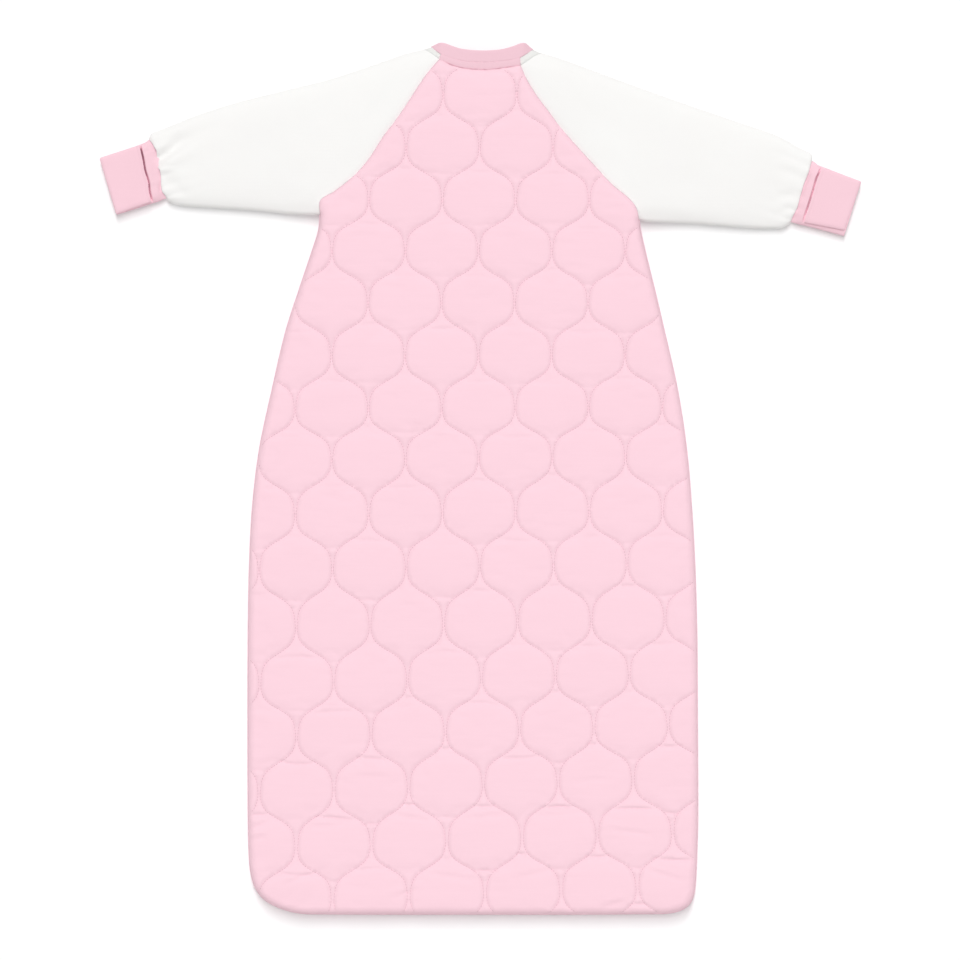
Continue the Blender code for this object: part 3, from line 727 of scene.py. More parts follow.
def plastic(name, colour, rough):
    """Moulded or lacquered finish with a faint grain."""
    body = Surface(name)
    body.fill(body.bsdf, {"Coat Weight": 0.25})
    grain = body.noise(scale=700.0, detail=4.0)
    body.roughen(grain, rough, spread=0.06)
    # colour sockets of the mix node: 6 and 7 go in, 2 comes out
    mix = body.add("Mix", {
        6: (*[c * 0.94 for c in colour], 1.0),
        7: (*[min(1.0, c * 1.03) for c in colour], 1.0),
        0: grain,
    }, data_type="RGBA")
    body.fill(body.bsdf, {"Base Color": mix.outputs[2]})
    body.bump(grain, strength=0.15, distance=0.00005)
    body.material.diffuse_color = (*colour, 1.0)
    return body.material


RIB_KNIT = dict(weave=2900.0, weave_depth=0.45, knit=True)
SEWING = dict(rough=0.6, weave=9000.0, weave_depth=0.8)

QUILT = fabric("quilt_cotton", (0.937, 0.644, 0.724), rough=0.82, mottle=0.012,
               weave_depth=0.2, slub=0.8, sheen=0.15)
RIB = fabric("cuff_interlock", (0.905, 0.608, 0.684), rough=0.88, mottle=0.012, **RIB_KNIT)
# painted shade: two darker pinks for the shadow deep in the cuff slits, not colours of the cloth
SLIT_SHADE_DARK = fabric("painted_slit_shade_dark", (0.440, 0.200, 0.265), rough=0.92, mottle=0.02,
                    sheen=0.0, **RIB_KNIT)
SLIT_SHADE_PALE = fabric("painted_slit_shade_pale", (0.660, 0.390, 0.460), rough=0.92, mottle=0.02,
                   sheen=0.0, **RIB_KNIT)
RIB_NECK = fabric("neck_interlock", (0.850, 0.565, 0.639), rough=0.88, mottle=0.012,
                  sheen=0.2, **RIB_KNIT)
NECK_BIND = fabric("neck_binding", (0.840, 0.560, 0.632), rough=0.84, mottle=0.015,
                   weave_depth=0.3, sheen=0.15)
JERSEY = fabric("sleeve_jersey", (0.890, 0.884, 0.870), rough=0.88, mottle=0.008,
                weave=2600.0, weave_depth=0.35, sheen=0.2, knit=True)
STRIP = fabric("neck_strip_cotton", (0.790, 0.797, 0.775), rough=0.86, mottle=0.02,
               weave_depth=0.3)
LINING = fabric("cotton_lining", (0.900, 0.870, 0.860), rough=0.86, mottle=0.02)
WADDING = fabric("wadding_fleece", (0.900, 0.900, 0.895), rough=0.95, mottle=0.05,
                 weave=700.0, weave_depth=0.1, fuzz=0.9, sheen=0.4, distance=0.0012)
TAPE = fabric("zip_tape_weave", (0.880, 0.520, 0.610), rough=0.8, mottle=0.02,
              weave=3600.0, weave_depth=0.6)
LABEL = fabric("label_satin", (0.930, 0.925, 0.915), rough=0.45, mottle=0.01,
               weave=4200.0, weave_depth=0.3)
THREAD = fabric("quilting_thread", (0.640, 0.425, 0.485), mottle=0.06, sheen=0.1, **SEWING)
SEW_PINK = fabric("seam_thread_pink", (0.840, 0.520, 0.590), mottle=0.05, **SEWING)
SEW_WHITE = fabric("seam_thread_white", (0.830, 0.825, 0.810), mottle=0.05, **SEWING)
COIL = plastic("zip_coil_nylon", (0.900, 0.560, 0.650), rough=0.42)
SLIDER = plastic("slider_lacquer", (0.880, 0.520, 0.610), rough=0.28)


# ---------------------------------------------------------------- back panel
# folds in the cloth, most of them above the hem: centre x and y, half length,
# slope and depth
CLOTH_FOLDS = [
    (-68.0, -338.0, 20.0, -0.18, 0.9), (8.0, -336.0, 18.0, 0.12, 0.8),
    (78.0, -334.0, 20.0, 0.05, 0.9), (-75.0, -413.0, 14.0, 0.3, 1.0),
    (-150.0, -345.0, 22.0, 0.1, 0.7), (150.0, -352.0, 20.0, -0.15, 0.9),
    (132.0, -424.0, 12.0, 0.25, 1.2), (60.0, -392.0, 24.0, 0.22, 0.7),
    (-20.0, -398.0, 26.0, -0.12, 0.7), (-180.0, -398.0, 18.0, 0.35, 0.8),
    (185.0, -395.0, 16.0, -0.3, 0.9), (-221.0, -345.0, 9.0, 0.4, 1.3),
    (-222.0, -358.0, 8.0, 0.2, 1.1), (110.0, -300.0, 16.0, 0.08, 0.5),
    (-110.0, -296.0, 16.0, -0.06, 0.5), (20.0, 385.0, 34.0, 0.06, 0.5),
    (5.0, 357.0, 30.0, 0.05, 0.45),
]


def puff_fade(to_side, side_reach, to_raglan, to_neck):
    """How full the quilting is: 0 at the sides, partly held at the other seams."""
    fade = ell(to_side / side_reach)
    fade = np.minimum(fade, 0.25 + 0.75 * ell(to_raglan / 6.0))
    return np.minimum(fade, 0.35 + 0.65 * ell(to_neck / 6.0))


def back_base(xy):
    """Height of the back before it is quilted, and the fullness of its quilting."""
    full = TOP_Z - 2.6
    to_side, to_raglan, to_neck = (
        distance_to(row, xy) for row in (side_fine, raglan_fine, neck_fine))
    z = SEAM_MID + (full - SEAM_MID) * ell(to_side / 6.0)
    z = np.minimum(z, RAGLAN_Z + (full - RAGLAN_Z) * ell(to_raglan / 8.0))
    z = np.minimum(z, NECK_Z + (full - NECK_Z) * ell(to_neck / 9.0))
    return z, puff_fade(to_side, 5.0, to_raglan, to_neck)


def creases(xy):
    """Slow waves of the cloth, and its folds."""
    x, y = xy[:, 0], xy[:, 1]
    z = 0.45 * soft_noise(x, y, 55.0, 1.7) + 0.22 * soft_noise(x, y, 19.0, 5.1)
    z += 0.10 * soft_noise(x * 0.35, y, 4.5, 8.3)
    for fold_x, fold_y, long, slope, deep in CLOTH_FOLDS:
        near = (np.abs(x - fold_x) < long * 1.6) & (np.abs(y - fold_y) < 14.0)
        dx, dy = x[near] - fold_x, y[near] - fold_y
        off = dy - slope * dx
        profile = gauss(off, 2.0) - 0.6 * gauss(off - 4.0, 2.6)
        z[near] -= deep * profile * np.exp(-((dx / long) ** 4))
    return z


def back_surface(xy):
    z, fade = back_base(xy)
    to_line = line_distance(xy)
    puff = 1.3 * (1.0 - np.exp(-to_line / 0.6)) + 0.75 * (1.0 - gauss(to_line, 9.0))
    z = z - 0.5 * fade + puff * fade
    return z + creases(xy) * fade


def chord_folds(xy):
    """The small folds across the necks of the pattern."""
    x, y = xy[:, 0], xy[:, 1]
    z = np.zeros(len(xy))
    for fold_x, fold_y, wide, slope, bow, deep, side in CHORDS:
        near = (np.abs(x - fold_x) < wide + 9.0) & (np.abs(y - fold_y) < 7.0)
        dx, dy = x[near] - fold_x, y[near] - fold_y
        off = dy - slope * dx - bow * dx * dx
        profile = gauss(off, 1.25) - 0.45 * gauss(off - 2.8 * side, 1.9)
        z[near] -= deep * profile * np.exp(-((dx / wide) ** 8))
    return z * back_base(xy)[1]


def settle_cloth(verts, faces, sewn, larger, push, frames):
    """Cloth simulation: a sheet cut a little larger than its place, held along
    its stitching and pushed out by the wadding, settles into puffs and puckers."""
    obj = mesh_object("cloth_at_work", verts, faces)
    held = obj.vertex_groups.new(name="sewn")
    held.add([int(k) for k in np.nonzero(sewn)[0]], 1.0, "REPLACE")
    mod = obj.modifiers.new("cloth", "CLOTH")
    cloth = mod.settings
    cloth.quality = 5
    cloth.time_scale = 1.0
    cloth.mass = 0.00001
    cloth.air_damping = 1.0
    cloth.tension_stiffness = cloth.compression_stiffness = 12.0
    cloth.shear_stiffness = 4.0
    cloth.bending_stiffness = 0.004
    cloth.tension_damping = cloth.compression_damping = cloth.shear_damping = 0.2
    cloth.bending_damping = 0.0
    cloth.vertex_group_mass = "sewn"
    cloth.pin_stiffness = 1.0
    cloth.shrink_min = cloth.shrink_max = -larger
    cloth.use_pressure = True
    cloth.uniform_pressure_force = push
    cloth.effector_weights.gravity = 0.0
    mod.collision_settings.use_collision = False
    mod.collision_settings.use_self_collision = False
    mod.point_cache.frame_start = 1
    mod.point_cache.frame_end = frames
    scene = bpy.context.scene
    for k in range(1, frames + 1):
        scene.frame_set(k)
    graph = bpy.context.evaluated_depsgraph_get()
    settled = obj.evaluated_get(graph).data
    places = np.empty(len(settled.vertices) * 3)
    settled.vertices.foreach_get("co", places)
    scene.frame_set(1)
    mesh = obj.data
    bpy.data.objects.remove(obj)
    bpy.data.meshes.remove(mesh)
    return places.reshape(-1, 3) / MM


def make_back():
    """Builds the quilted back; returns a search tree over its upper face."""
    xy, faces = triangulated(back_loop, PANEL_SPACING, [0.7, 1.9], with_chords=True)
    cloth = np.column_stack([xy, back_surface(xy)])
    seam_rows = np.concatenate([side_fine, raglan_fine, neck_fine])
    sewn = (line_distance(xy) < 0.3) | (distance_to(seam_rows, xy) < 2.4)
    settled = settle_cloth(cloth, faces, sewn, larger=0.003, push=1.5, frames=15)
    move = settled - cloth
    move[:, :2] = np.clip(move[:, :2], -1.2, 1.2)
    move[:, 2] = 1.6 * np.tanh(move[:, 2] / 1.6)
    cloth = cloth + move
    cloth[:, 2] += chord_folds(xy)
    obj = mesh_object("quilted_back", cloth, faces)
    thicken(obj, SHELL)
    finish_piece(obj, QUILT, "torso", "pink_quilt", "back_shell")
    return bvhtree.BVHTree.FromPolygons([Vector(p) for p in cloth], faces)


back_loop = closed_loop(
    spline(HEM, CURVE), side_curves["right"], raglan_curves["right"],
    spline(BACK_NECK, CURVE)[::-1], raglan_curves["left"][::-1], side_curves["left"][::-1])
back_tree = make_back()


def back_height(xy):
    """Height of the settled back panel under each point."""
    out = back_surface(xy)
    for k, (x, y) in enumerate(xy):
        hit = back_tree.ray_cast(Vector((x, y, 60.0)), Vector((0.0, 0.0, -1.0)))[0]
        if hit is not None:
            out[k] = hit.z
    return out


def layer_share(xy):
    """How full the layers are, from 0 at the side seams to 1 over the body."""
    share = ell(distance_to(side_fine, xy) / 28.0)
    return np.minimum(share, 0.6 + 0.4 * ell(distance_to(raglan_fine, xy) / 26.0))


def make_back_wadding():
    xy, faces = triangulated(inset_loop(back_loop, 1.7), 6.5, [1.6])
    rim_z, full_z = 13.0, 18.6
    top = np.minimum(back_height(xy), back_base(xy)[0] + 1.6) - SHELL - 2.4
    low = rim_z + (full_z - rim_z) * layer_share(xy) + 0.15
    obj = slab("wadding_back", xy, faces, np.maximum(top, low + 0.3), low)
    finish_piece(obj, WADDING, "torso", "wadding", "back_wadding")


def make_back_lining():
    xy, faces = triangulated(inset_loop(back_loop, 0.9), 8.0, [2.0], with_lines=False)
    rim_z, full_z = 11.95, 17.2
    share = layer_share(xy)
    ripple = 0.25 * soft_noise(xy[:, 0], xy[:, 1], 24.0, 3.3)
    low = rim_z + (full_z - rim_z) * share + ripple * share
    obj = slab("lining_back", xy, faces, low + 0.85, low)
    finish_piece(obj, LINING, "torso", "lining", "back_lining")


make_back_wadding()
make_back_lining()


# -------------------------------------------------------------- front panels
# two panels that meet at the zip; half widths of the gap they leave for the
# zip and for the tab at its end
ZIP_EDGE, TAB_EDGE = 6.6, 12.0


def zip_edge_line(side):
    """A panel's edge beside the zip, from the hem up."""
    foot = [(0.35, HEM_Y), (0.35, -420.0), (0.35, -406.5), (2.2, -404.0), (ZIP_EDGE, -403.0)]
    rest = [(ZIP_EDGE, y) for y in np.arange(-400.0, 368.6, 3.0)]
    return np.array([(side * x, y) for x, y in foot + rest])


def front_shell_z(word, xy):
    """Height of the front's outer face, which faces down."""
    x, y = xy[:, 0], xy[:, 1]
    to_side = distance_to(side_fine, xy)
    to_raglan = distance_to(raglan_fine, xy)
    to_neck = distance_to(spline(FRONT_NECKS[word], FINE), xy)
    share = ell(to_side / 20.0)
    share = np.minimum(share, 0.72 + 0.28 * ell(to_raglan / 8.0))
    share = np.minimum(share, 0.85 + 0.15 * ell(to_neck / 8.0))
    # the cloth rises into a valley beside the zip, wider and higher at the tab
    by_tab = np.clip((-399.0 - y) / 5.0, 0.0, 1.0)
    to_zip = np.abs(x) - (ZIP_EDGE + (TAB_EDGE - ZIP_EDGE) * by_tab)
    valley = 4.75 + 0.95 * by_tab
    z = FRONT_SEAM_Z + (3.0 - FRONT_SEAM_Z) * share
    z = z + (valley - z) * (1.0 - ell(to_zip / 10.0)) * share
    fade = np.minimum(puff_fade(to_side, 7.0, to_raglan, to_neck), ell(to_zip / 6.0))
    to_line = line_distance(xy)
    puff = 1.5 * (1.0 - np.exp(-to_line / 1.1)) + 1.3 * (1.0 - gauss(to_line, 13.0))
    z = z + 0.9 * fade - puff * fade + 0.35 * soft_noise(x, y, 50.0, 6.0) * fade
    # the bag's weight presses the puffs flat on whatever it lies on
    return np.where(z < 0.9, 0.25 + 0.65 * np.exp((z - 0.9) / 0.65), z)


def front_lining_z(xy):
    return FRONT_SEAM_Z + (8.1 - FRONT_SEAM_Z) * ell(distance_to(side_fine, xy) / 28.0)


def make_front_shell(word, loop):
    xy, faces = triangulated(loop, PANEL_SPACING * 1.3, [0.8, 2.2])
    cloth = np.column_stack([xy, front_shell_z(word, xy)])
    obj = mesh_object(f"quilted_front_{word}", cloth, [face[::-1] for face in faces])
    thicken(obj, SHELL)
    finish_piece(obj, QUILT, "torso", "pink_quilt", f"front_shell_{word}")


def make_front_wadding(word, loop):
    xy, faces = triangulated(inset_loop(loop, 1.7), 6.5, [1.6])
    low = front_shell_z(word, xy) + SHELL + 0.35
    high = np.where(np.abs(xy[:, 0]) < 17.5, 7.0, front_lining_z(xy) - 0.4)
    obj = slab(f"wadding_front_{word}", xy, faces, np.maximum(high, low + 0.3), low)
    finish_piece(obj, WADDING, "torso", "wadding", f"front_wadding_{word}")


def make_front_lining(word, loop):
    """The lining stops short of the zip."""
    xy, faces = triangulated(inset_loop(loop, 0.9), 8.0, [2.0], with_lines=False)
    keep = np.abs(xy[:, 0]) > 11.0
    index = np.cumsum(keep) - 1
    faces = [tuple(int(index[k]) for k in face) for face in faces if all(keep[k] for k in face)]
    xy = xy[keep]
    low = front_lining_z(xy)
    obj = slab(f"lining_front_{word}", xy, faces, low + 0.8, low)
    finish_piece(obj, LINING, "torso", "lining", f"front_lining_{word}")


def make_front(word):
    side = SIGN[word]
    half_hem = spline([SIDES[word][0], (side * 90.0, HEM_Y), (side * 0.35, HEM_Y)], CURVE)
    # the right neck part runs from the raglan to the zip, so that outline crosses itself
    loop = closed_loop(
        half_hem, zip_edge_line(side), spline(FRONT_NECKS[word], CURVE)[::-1],
        raglan_curves[word][::-1], side_curves[word][::-1])
    make_front_shell(word, loop)
    make_front_wadding(word, loop)
    make_front_lining(word, loop)


for word in SIGN:
    make_front(word)


# ---------------------------------------------------------- threads and seams
def runs_inside(loop, line, margin):
    """The stretches of a line that lie inside a loop, clear of its edge."""
    kept = inside(loop, line) & (distance_to(quartered(loop), line) > margin)
    breaks = np.nonzero(np.diff(kept))[0] + 1
    return [run for run, good in zip(np.split(line, breaks), np.split(kept, breaks))
            if good[0] and len(run) > 3]


def make_quilting_threads():
    paths = []
    for line in LINES:
        for run in runs_inside(back_loop, line_points(line, 1.0), 2.4):
            paths.append(np.column_stack([run, back_height(run) + 0.14]))
    obj = stitches("quilting_stitches_back", paths, length=2.5, gap=0.5, radius=0.27)
    finish_piece(obj, THREAD, "torso", "pink_quilt")


def seam_roll(name, line, wobble, turn, keep, replaced):
    """A rolled seam along a line; its height wobbles by `wobble`, and only the
    points that `keep` allows are used."""
    z = np.full(len(line), SEAM_ROLL_Z) + wobble * np.sin(np.arange(len(line)) * turn)
    path = np.column_stack([line, z])
    obj = tube(name, path[keep], wide=0.75, tall=1.15)
    finish_piece(obj, QUILT, "torso", "pink_quilt", replaced)


def make_seams():
    """The closed seams between the back and the front, down the sides and along the hem."""
    step = 2.5
    sides = {word: spline(SIDES[word], step) for word in SIGN}
    for word, line in sides.items():
        seam_roll(f"side_seam_roll_{word}", line, 0.15, 1.9, line[:, 1] > -392.0,
                  f"side_seam_{word}")
    corners = {word: line[line[:, 1] <= -389.0] for word, line in sides.items()}
    line = chained(corners["left"][::-1], spline(HEM, step), corners["right"])
    seam_roll("hem_seam_roll", line, 0.2, 1.3, slice(None), "hem_seam")


make_quilting_threads()
make_seams()


# ------------------------------------------------------------------- sleeves
# cross-sections from the raglan out: low edge, high edge (x, y), middle height
# and half thickness
SLEEVES = {
    "left": [((-171.5, 265.8), (-76.0, 425.6), 12.4, 9.0),
             ((-190.0, 266.6), (-100.0, 417.4), 10.8, 9.0),
             ((-215.0, 269.2), (-150.0, 401.0), 9.6, 9.0),
             ((-245.0, 271.6), (-200.0, 388.6), 9.2, 8.8),
             ((-275.0, 273.4), (-250.0, 375.8), 8.8, 8.3),
             ((-297.0, 275.0), (-288.0, 363.2), 8.2, 7.7),
             ((-307.0, 276.8), (-315.5, 352.0), 7.8, 7.2),
             ((-312.2, 279.0), (-330.4, 345.8), 7.3, 6.8)],
    "right": [((167.5, 258.8), (74.5, 423.0), 12.4, 9.0),
              ((190.0, 258.0), (100.0, 414.0), 10.8, 9.0),
              ((216.0, 257.0), (150.0, 395.6), 9.6, 9.0),
              ((245.0, 254.6), (200.0, 377.8), 9.2, 8.8),
              ((270.0, 252.8), (250.0, 360.5), 8.8, 8.3),
              ((293.0, 252.2), (299.0, 343.4), 8.2, 7.7),
              ((302.5, 252.6), (319.7, 332.0), 7.8, 7.2),
              ((308.6, 256.0), (332.0, 325.4), 7.3, 6.8)],
}
# low and high end of the seam to the cuff
SLEEVE_END = {"left": ((-314.6, 281.8), (-331.8, 342.4)),
              "right": ((310.8, 258.4), (332.0, 320.2))}
CUFF_Z = 7.0  # middle height of the cuff and of the sleeve's end
# (share, distance): how far the cuff seam strays from straight, high end to low end
SEAM_WAVE = {
    "left": [(0.0, 0.0), (0.12, 1.9), (0.24, 4.0), (0.31, 3.0), (0.40, 0.2), (0.47, 0.4),
             (0.56, 1.9), (0.67, 0.8), (0.78, -1.3), (0.88, -2.0), (1.0, 0.0)],
    "right": [(0.0, 0.0), (0.2, -0.5), (0.4, 0.2), (0.6, -0.5), (0.78, -1.3), (0.93, 0.2),
              (1.0, 0.0)],
}
NECK_TOP = {"left": (-49.0, 432.6), "right": (52.4, 429.6)}
SHARES = cosine_spaced(57)  # places from the low edge to the high edge
RAGLAN_SHARE = 0.93  # the rest of the first row is the short edge at the neck
# valleys in the sleeve's faces: start, end, depth, half width
SLEEVE_CREASES = {
    "left": [((-325.0, 317.5), (-292.0, 344.0), 4.4, 5.4),
             ((-298.0, 339.0), (-262.0, 356.0), 1.6, 7.0),
             ((-318.0, 288.0), (-286.0, 286.0), 0.8, 5.0),
             ((-120.0, 350.0), (-88.0, 398.0), 0.9, 9.0),
             ((-322.5, 313.5), (-304.0, 314.5), 1.6, 2.2),
             ((-314.0, 300.0), (-294.0, 290.0), 1.8, 6.5),
             ((-196.0, 300.0), (-150.0, 316.0), 0.5, 11.0)],
    "right": [((321.0, 304.0), (296.0, 312.0), 0.9, 5.0),
              ((315.0, 284.0), (292.0, 282.0), 1.0, 4.0),
              ((322.0, 318.0), (290.0, 330.0), 0.7, 6.0),
              ((122.0, 348.0), (92.0, 392.0), 0.8, 9.0),
              ((176.0, 300.0), (222.0, 292.0), 0.5, 12.0),
              ((312.0, 272.0), (296.0, 266.0), 0.7, 4.0)],
}


def sleeve_axes(word):
    """Unit vectors up along the cuff seam, and across it away from the bag."""
    low, high = (np.array(point, float) for point in SLEEVE_END[word])
    across = (high - low) / np.linalg.norm(high - low)
    outward = np.array([-across[1], across[0]])
    return across, -outward if outward[0] * SIGN[word] < 0 else outward


def section(shares, low, high, middle, half, power, shrink=0.0):
    """A flattened oval cross-section: its (x, y) row, upper and lower heights."""
    low, high = np.array(low, float), np.array(high, float)
    along = (high - low) / np.linalg.norm(high - low)
    low, high = low + along * shrink, high - along * shrink
    lens = (1.0 - np.abs(2 * shares - 1) ** power) ** (1 / power)
    xy = low + (high - low) * shares[:, None]
    return xy, middle + (half - shrink) * lens, middle - (half - shrink) * lens


def sheets_through(sections, along):
    """Upper and lower grids of points through cross-sections: [row, place across]."""
    return tuple(
        np.array([spline_at([(*row[0][k], row[face][k]) for row in sections], along)
                  for k in range(len(sections[0][0]))]).transpose(1, 0, 2)
        for face in (1, 2))


def closed_rings(tops, bottoms):
    return np.concatenate([tops, bottoms[:, -2:0:-1]], axis=1)


def rim_fade(shares, reach):
    """Smooth step from 0 at both edges to 1 inside."""
    rim = np.clip(np.minimum(shares, 1 - shares) / reach, 0, 1)
    return rim * rim * (3 - 2 * rim)


def gather_ripple(place, face):
    """Gathers along the cuff seam, shared by the sleeve and the cuff."""
    return np.sin(place * 2 * math.pi * 4.6 + 0.9 + 1.3 * np.sin(place * 7.0) + (face < 0) * 1.7)


def sleeve_start(word):
    """The tucked and the visible edge, along the raglan seam and the neck's short edge."""
    side = SIGN[word]
    raglan = raglan_curves[word]
    on_raglan = SHARES[:, None] < RAGLAN_SHARE
    on_neck = np.clip((SHARES - RAGLAN_SHARE) / (1 - RAGLAN_SHARE), 0, 1)
    run = np.where(on_raglan, along_polyline(raglan, np.minimum(SHARES / RAGLAN_SHARE, 1.0)),
                   raglan[-1] + (np.array(NECK_TOP[word]) - raglan[-1]) * on_neck[:, None])
    rise = ell(np.linalg.norm(run - raglan[0], axis=1) / 20.0)
    closing = np.sqrt(np.clip(1.0 - on_neck**2, 0, 1))
    top = 12.7 + (13.0 + 7.6 * rise + 0.3 - 12.7) * closing
    bottom = 12.5 + (12.0 - 7.2 * rise - 12.5) * closing
    bottom[-1] = top[-1] = 12.6
    bottom[0] = top[0] = 12.5
    inward = np.where(on_raglan, np.array([[-side * 0.86, -0.18]]) * 1.3,
                      np.array([[-side * 0.82, 0.57]]) * 2.6)
    return [(run + inward, top - 1.0, bottom + 1.0), (run, top, bottom)]


def sleeve_surface(word, count, shrink=0.0):
    """Upper and lower grids of the sleeve, with rows finer near the cuff."""
    sections = sleeve_start(word)
    for station in SLEEVES[word]:
        sections.append(section(SHARES, *station, power=2.7, shrink=shrink))
    sections.append(section(SHARES, *SLEEVE_END[word], CUFF_Z, 6.5, power=2.6, shrink=shrink))
    rest = 1 - (1 - np.linspace(0, 1, count)) ** 1.25
    first = 0.0085
    along = np.concatenate([[0.0, 0.0042], first + (1 - first) * rest])
    return sheets_through(sections, along)


def crease_sleeve(word, sheet, face):
    """Creases, soft undulations and the gathers at the cuff; face is 1 for the
    upper sheet and -1 for the lower."""
    low, high = (np.array(point, float) for point in SLEEVE_END[word])
    across, outward = sleeve_axes(word)
    rows, cols = sheet.shape[:2]
    flat = sheet.reshape(-1, 3)
    xy = flat[:, :2]
    x, y = xy[:, 0], xy[:, 1]
    shares = np.tile(SHARES, rows)
    rim = rim_fade(shares, 0.10)
    start = np.repeat(np.clip(np.arange(rows) / 6.0, 0, 1), cols)
    to_cuff = (high - xy) @ outward
    off_cuff = np.maximum(to_cuff, 0.0)
    lift = 0.9 * soft_noise(x, y, 62.0, 2.0 + face) * rim * start
    lift += 0.35 * soft_noise(x, y, 23.0, 7.0 + face) * rim * start
    lift += 0.08 * soft_noise(x, y, 7.0, 9.0 + face) * rim
    place = ((high - xy) @ across) / np.linalg.norm(high - low)
    lift += 0.75 * gather_ripple(place, face) * np.exp(-off_cuff / 13.0) * rim
    pleats = np.sin(place * 2 * math.pi * 11.0 + 2.0 * np.sin(place * 5.0 + 1.0))
    lift += 0.28 * pleats * np.exp(-off_cuff / 6.0) * rim
    if face > 0:
        # the sleeve stands up beside the raglan seam
        away = distance_to(raglan_fine, xy)
        lift += 1.5 * ell(away / 7.0) * gauss(away, 70.0) * np.clip(shares / 0.05, 0, 1) * rim
    for begin, end, deep, wide in SLEEVE_CREASES[word]:
        if face < 0:
            begin, end = np.array(begin) + [6, -9], np.array(end) + [9, -6]
        away, share = segment_field(xy, begin, end)
        fall = np.sin(math.pi * np.clip(share, 0.02, 0.98))
        if face < 0:
            lift -= deep * 0.6 * gauss(away, wide) * fall * rim
            continue
        if deep > 1.0:
            fall = (1 - share) ** 0.7
        lift -= deep * gauss(away, wide) * fall * rim
        lift += deep * 0.35 * gauss(away - wide * 1.9, wide) * fall * rim
    flat[:, 2] += face * lift
    # the seam to the cuff wanders as its gathers pull on it
    pull = np.interp(np.clip(place, 0, 1), *zip(*SEAM_WAVE[word])) * (1.0 if face > 0 else 0.5)
    flat[:, :2] -= outward * (pull * np.exp(-off_cuff / 9.0) * rim)[:, None]
    sheet[:] = flat.reshape(sheet.shape)


def turned_in(tops, bottoms, outward):
    """Adds two rows that turn in under the sleeve's end, where the cuff is sewn on."""
    last = (tops[-1], bottoms[-1])
    middle_z = (last[0][:, 2] + last[1][:, 2]) / 2
    sheets = ([tops], [bottoms])
    # how far each row goes back, and how far it closes
    for back, close in ((0.5, 0.45), (2.6, 1.3)):
        for rows, source in zip(sheets, last):
            extra = source.copy()
            half = source[:, 2] - middle_z
            extra[:, 2] = middle_z + np.sign(half) * np.maximum(np.abs(half) - close, 0.0)
            extra[:, :2] -= outward * (back - 0.9)
            extra[:, :2] += (source[:, :2].mean(0) - extra[:, :2]) * (close * 0.02)
            rows.append(extra[None])
    return [np.concatenate(rows) for rows in sheets]


def fold_with_sleeve(obj, word):
    """Bakes the piece's placement into its mesh, the same for both sleeves."""
    if word == "left":
        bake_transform(obj)
    else:
        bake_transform(obj)


def make_sleeve_lining(word):
    tops, bottoms = sleeve_surface(word, 26, shrink=2.6)
    tops, bottoms = tops[2:, ::2], bottoms[2:, ::2]
    tops[:, :, 2] -= 2.4
    bottoms[:, :, 2] += 0.5
    obj = ring_mesh(f"sleeve_inner_{word}", closed_rings(tops, bottoms), flip=word == "left")
    thicken(obj, 0.7)
    finish_piece(obj, LINING, None, "lining", f"shoulder_lining_{word}", f"sleeve_lining_{word}")
    fold_with_sleeve(obj, word)


def make_underarm_seam(word, tops):
    edge = tops[4:-3, 0].copy()
    edge[:, 1] -= 0.15
    edge[:, 2] -= 0.2
    obj = tube(f"underarm_seam_{word}", edge, wide=0.55, tall=0.8)
    finish_piece(obj, JERSEY, None, "white_jersey")
    fold_with_sleeve(obj, word)


def make_sleeve(word):
    """Builds a sleeve, its lining and its seam; returns the outer sleeve."""
    tops, bottoms = sleeve_surface(word, 96)
    crease_sleeve(word, tops, 1.0)
    crease_sleeve(word, bottoms, -1.0)
    bottoms[:, :, 2] = np.maximum(bottoms[:, :, 2], 0.35)
    tops, bottoms = turned_in(tops, bottoms, sleeve_axes(word)[1])
    obj = ring_mesh(f"padded_sleeve_{word}", closed_rings(tops, bottoms), flip=word == "left")
    thicken(obj, 1.1)
    finish_piece(obj, JERSEY, None, "white_jersey", f"shoulder_{word}", f"sleeve_{word}")
    fold_with_sleeve(obj, word)
    make_sleeve_lining(word)
    make_underarm_seam(word, tops)
    return obj


sleeves = {word: make_sleeve(word) for word in SIGN}


# --------------------------------------------------------------------- cuffs
# cross-sections from the sleeve out: low edge, high edge, half thickness
CUFFS = {
    "left": [((-310.5, 283.0), (-326.5, 339.4), 3.8), ((-316.2, 281.2), (-330.6, 340.9), 4.8),
             ((-323.0, 278.4), (-336.2, 337.6), 5.5), ((-328.0, 276.9), (-341.0, 335.6), 5.5),
             ((-345.0, 271.4), (-360.0, 329.0), 5.3), ((-364.4, 265.2), (-381.2, 321.8), 4.8)],
    "right": [((307.0, 259.8), (328.4, 318.6), 3.8), ((312.4, 257.6), (333.0, 318.9), 4.8),
              ((319.0, 255.6), (338.6, 314.9), 5.5), ((324.6, 254.4), (343.6, 313.0), 5.5),
              ((343.5, 249.6), (362.0, 305.8), 5.3), ((364.2, 243.9), (381.0, 298.2), 4.8)],
}
# the free edge of the mitten flap, high end to low end
FLAP_EDGE = {
    "left": [(-341.6, 334.8), (-340.0, 327.8), (-338.1, 319.2), (-336.6, 310.3),
             (-334.6, 303.4), (-332.7, 296.8), (-332.0, 288.4), (-329.4, 277.8)],
    "right": [(342.0, 313.0), (339.6, 306.5), (337.6, 302.6), (333.0, 287.0), (327.6, 270.2),
              (325.2, 262.6), (324.2, 257.2)],
}
# high and low end of the flap's outer edge
FLAP_END = {"left": ((-381.6, 321.9), (-365.0, 265.6)),
            "right": ((381.6, 298.2), (364.6, 249.2))}
FLAP_WIDTH, FLAP_REACH = 58.0, 40.0
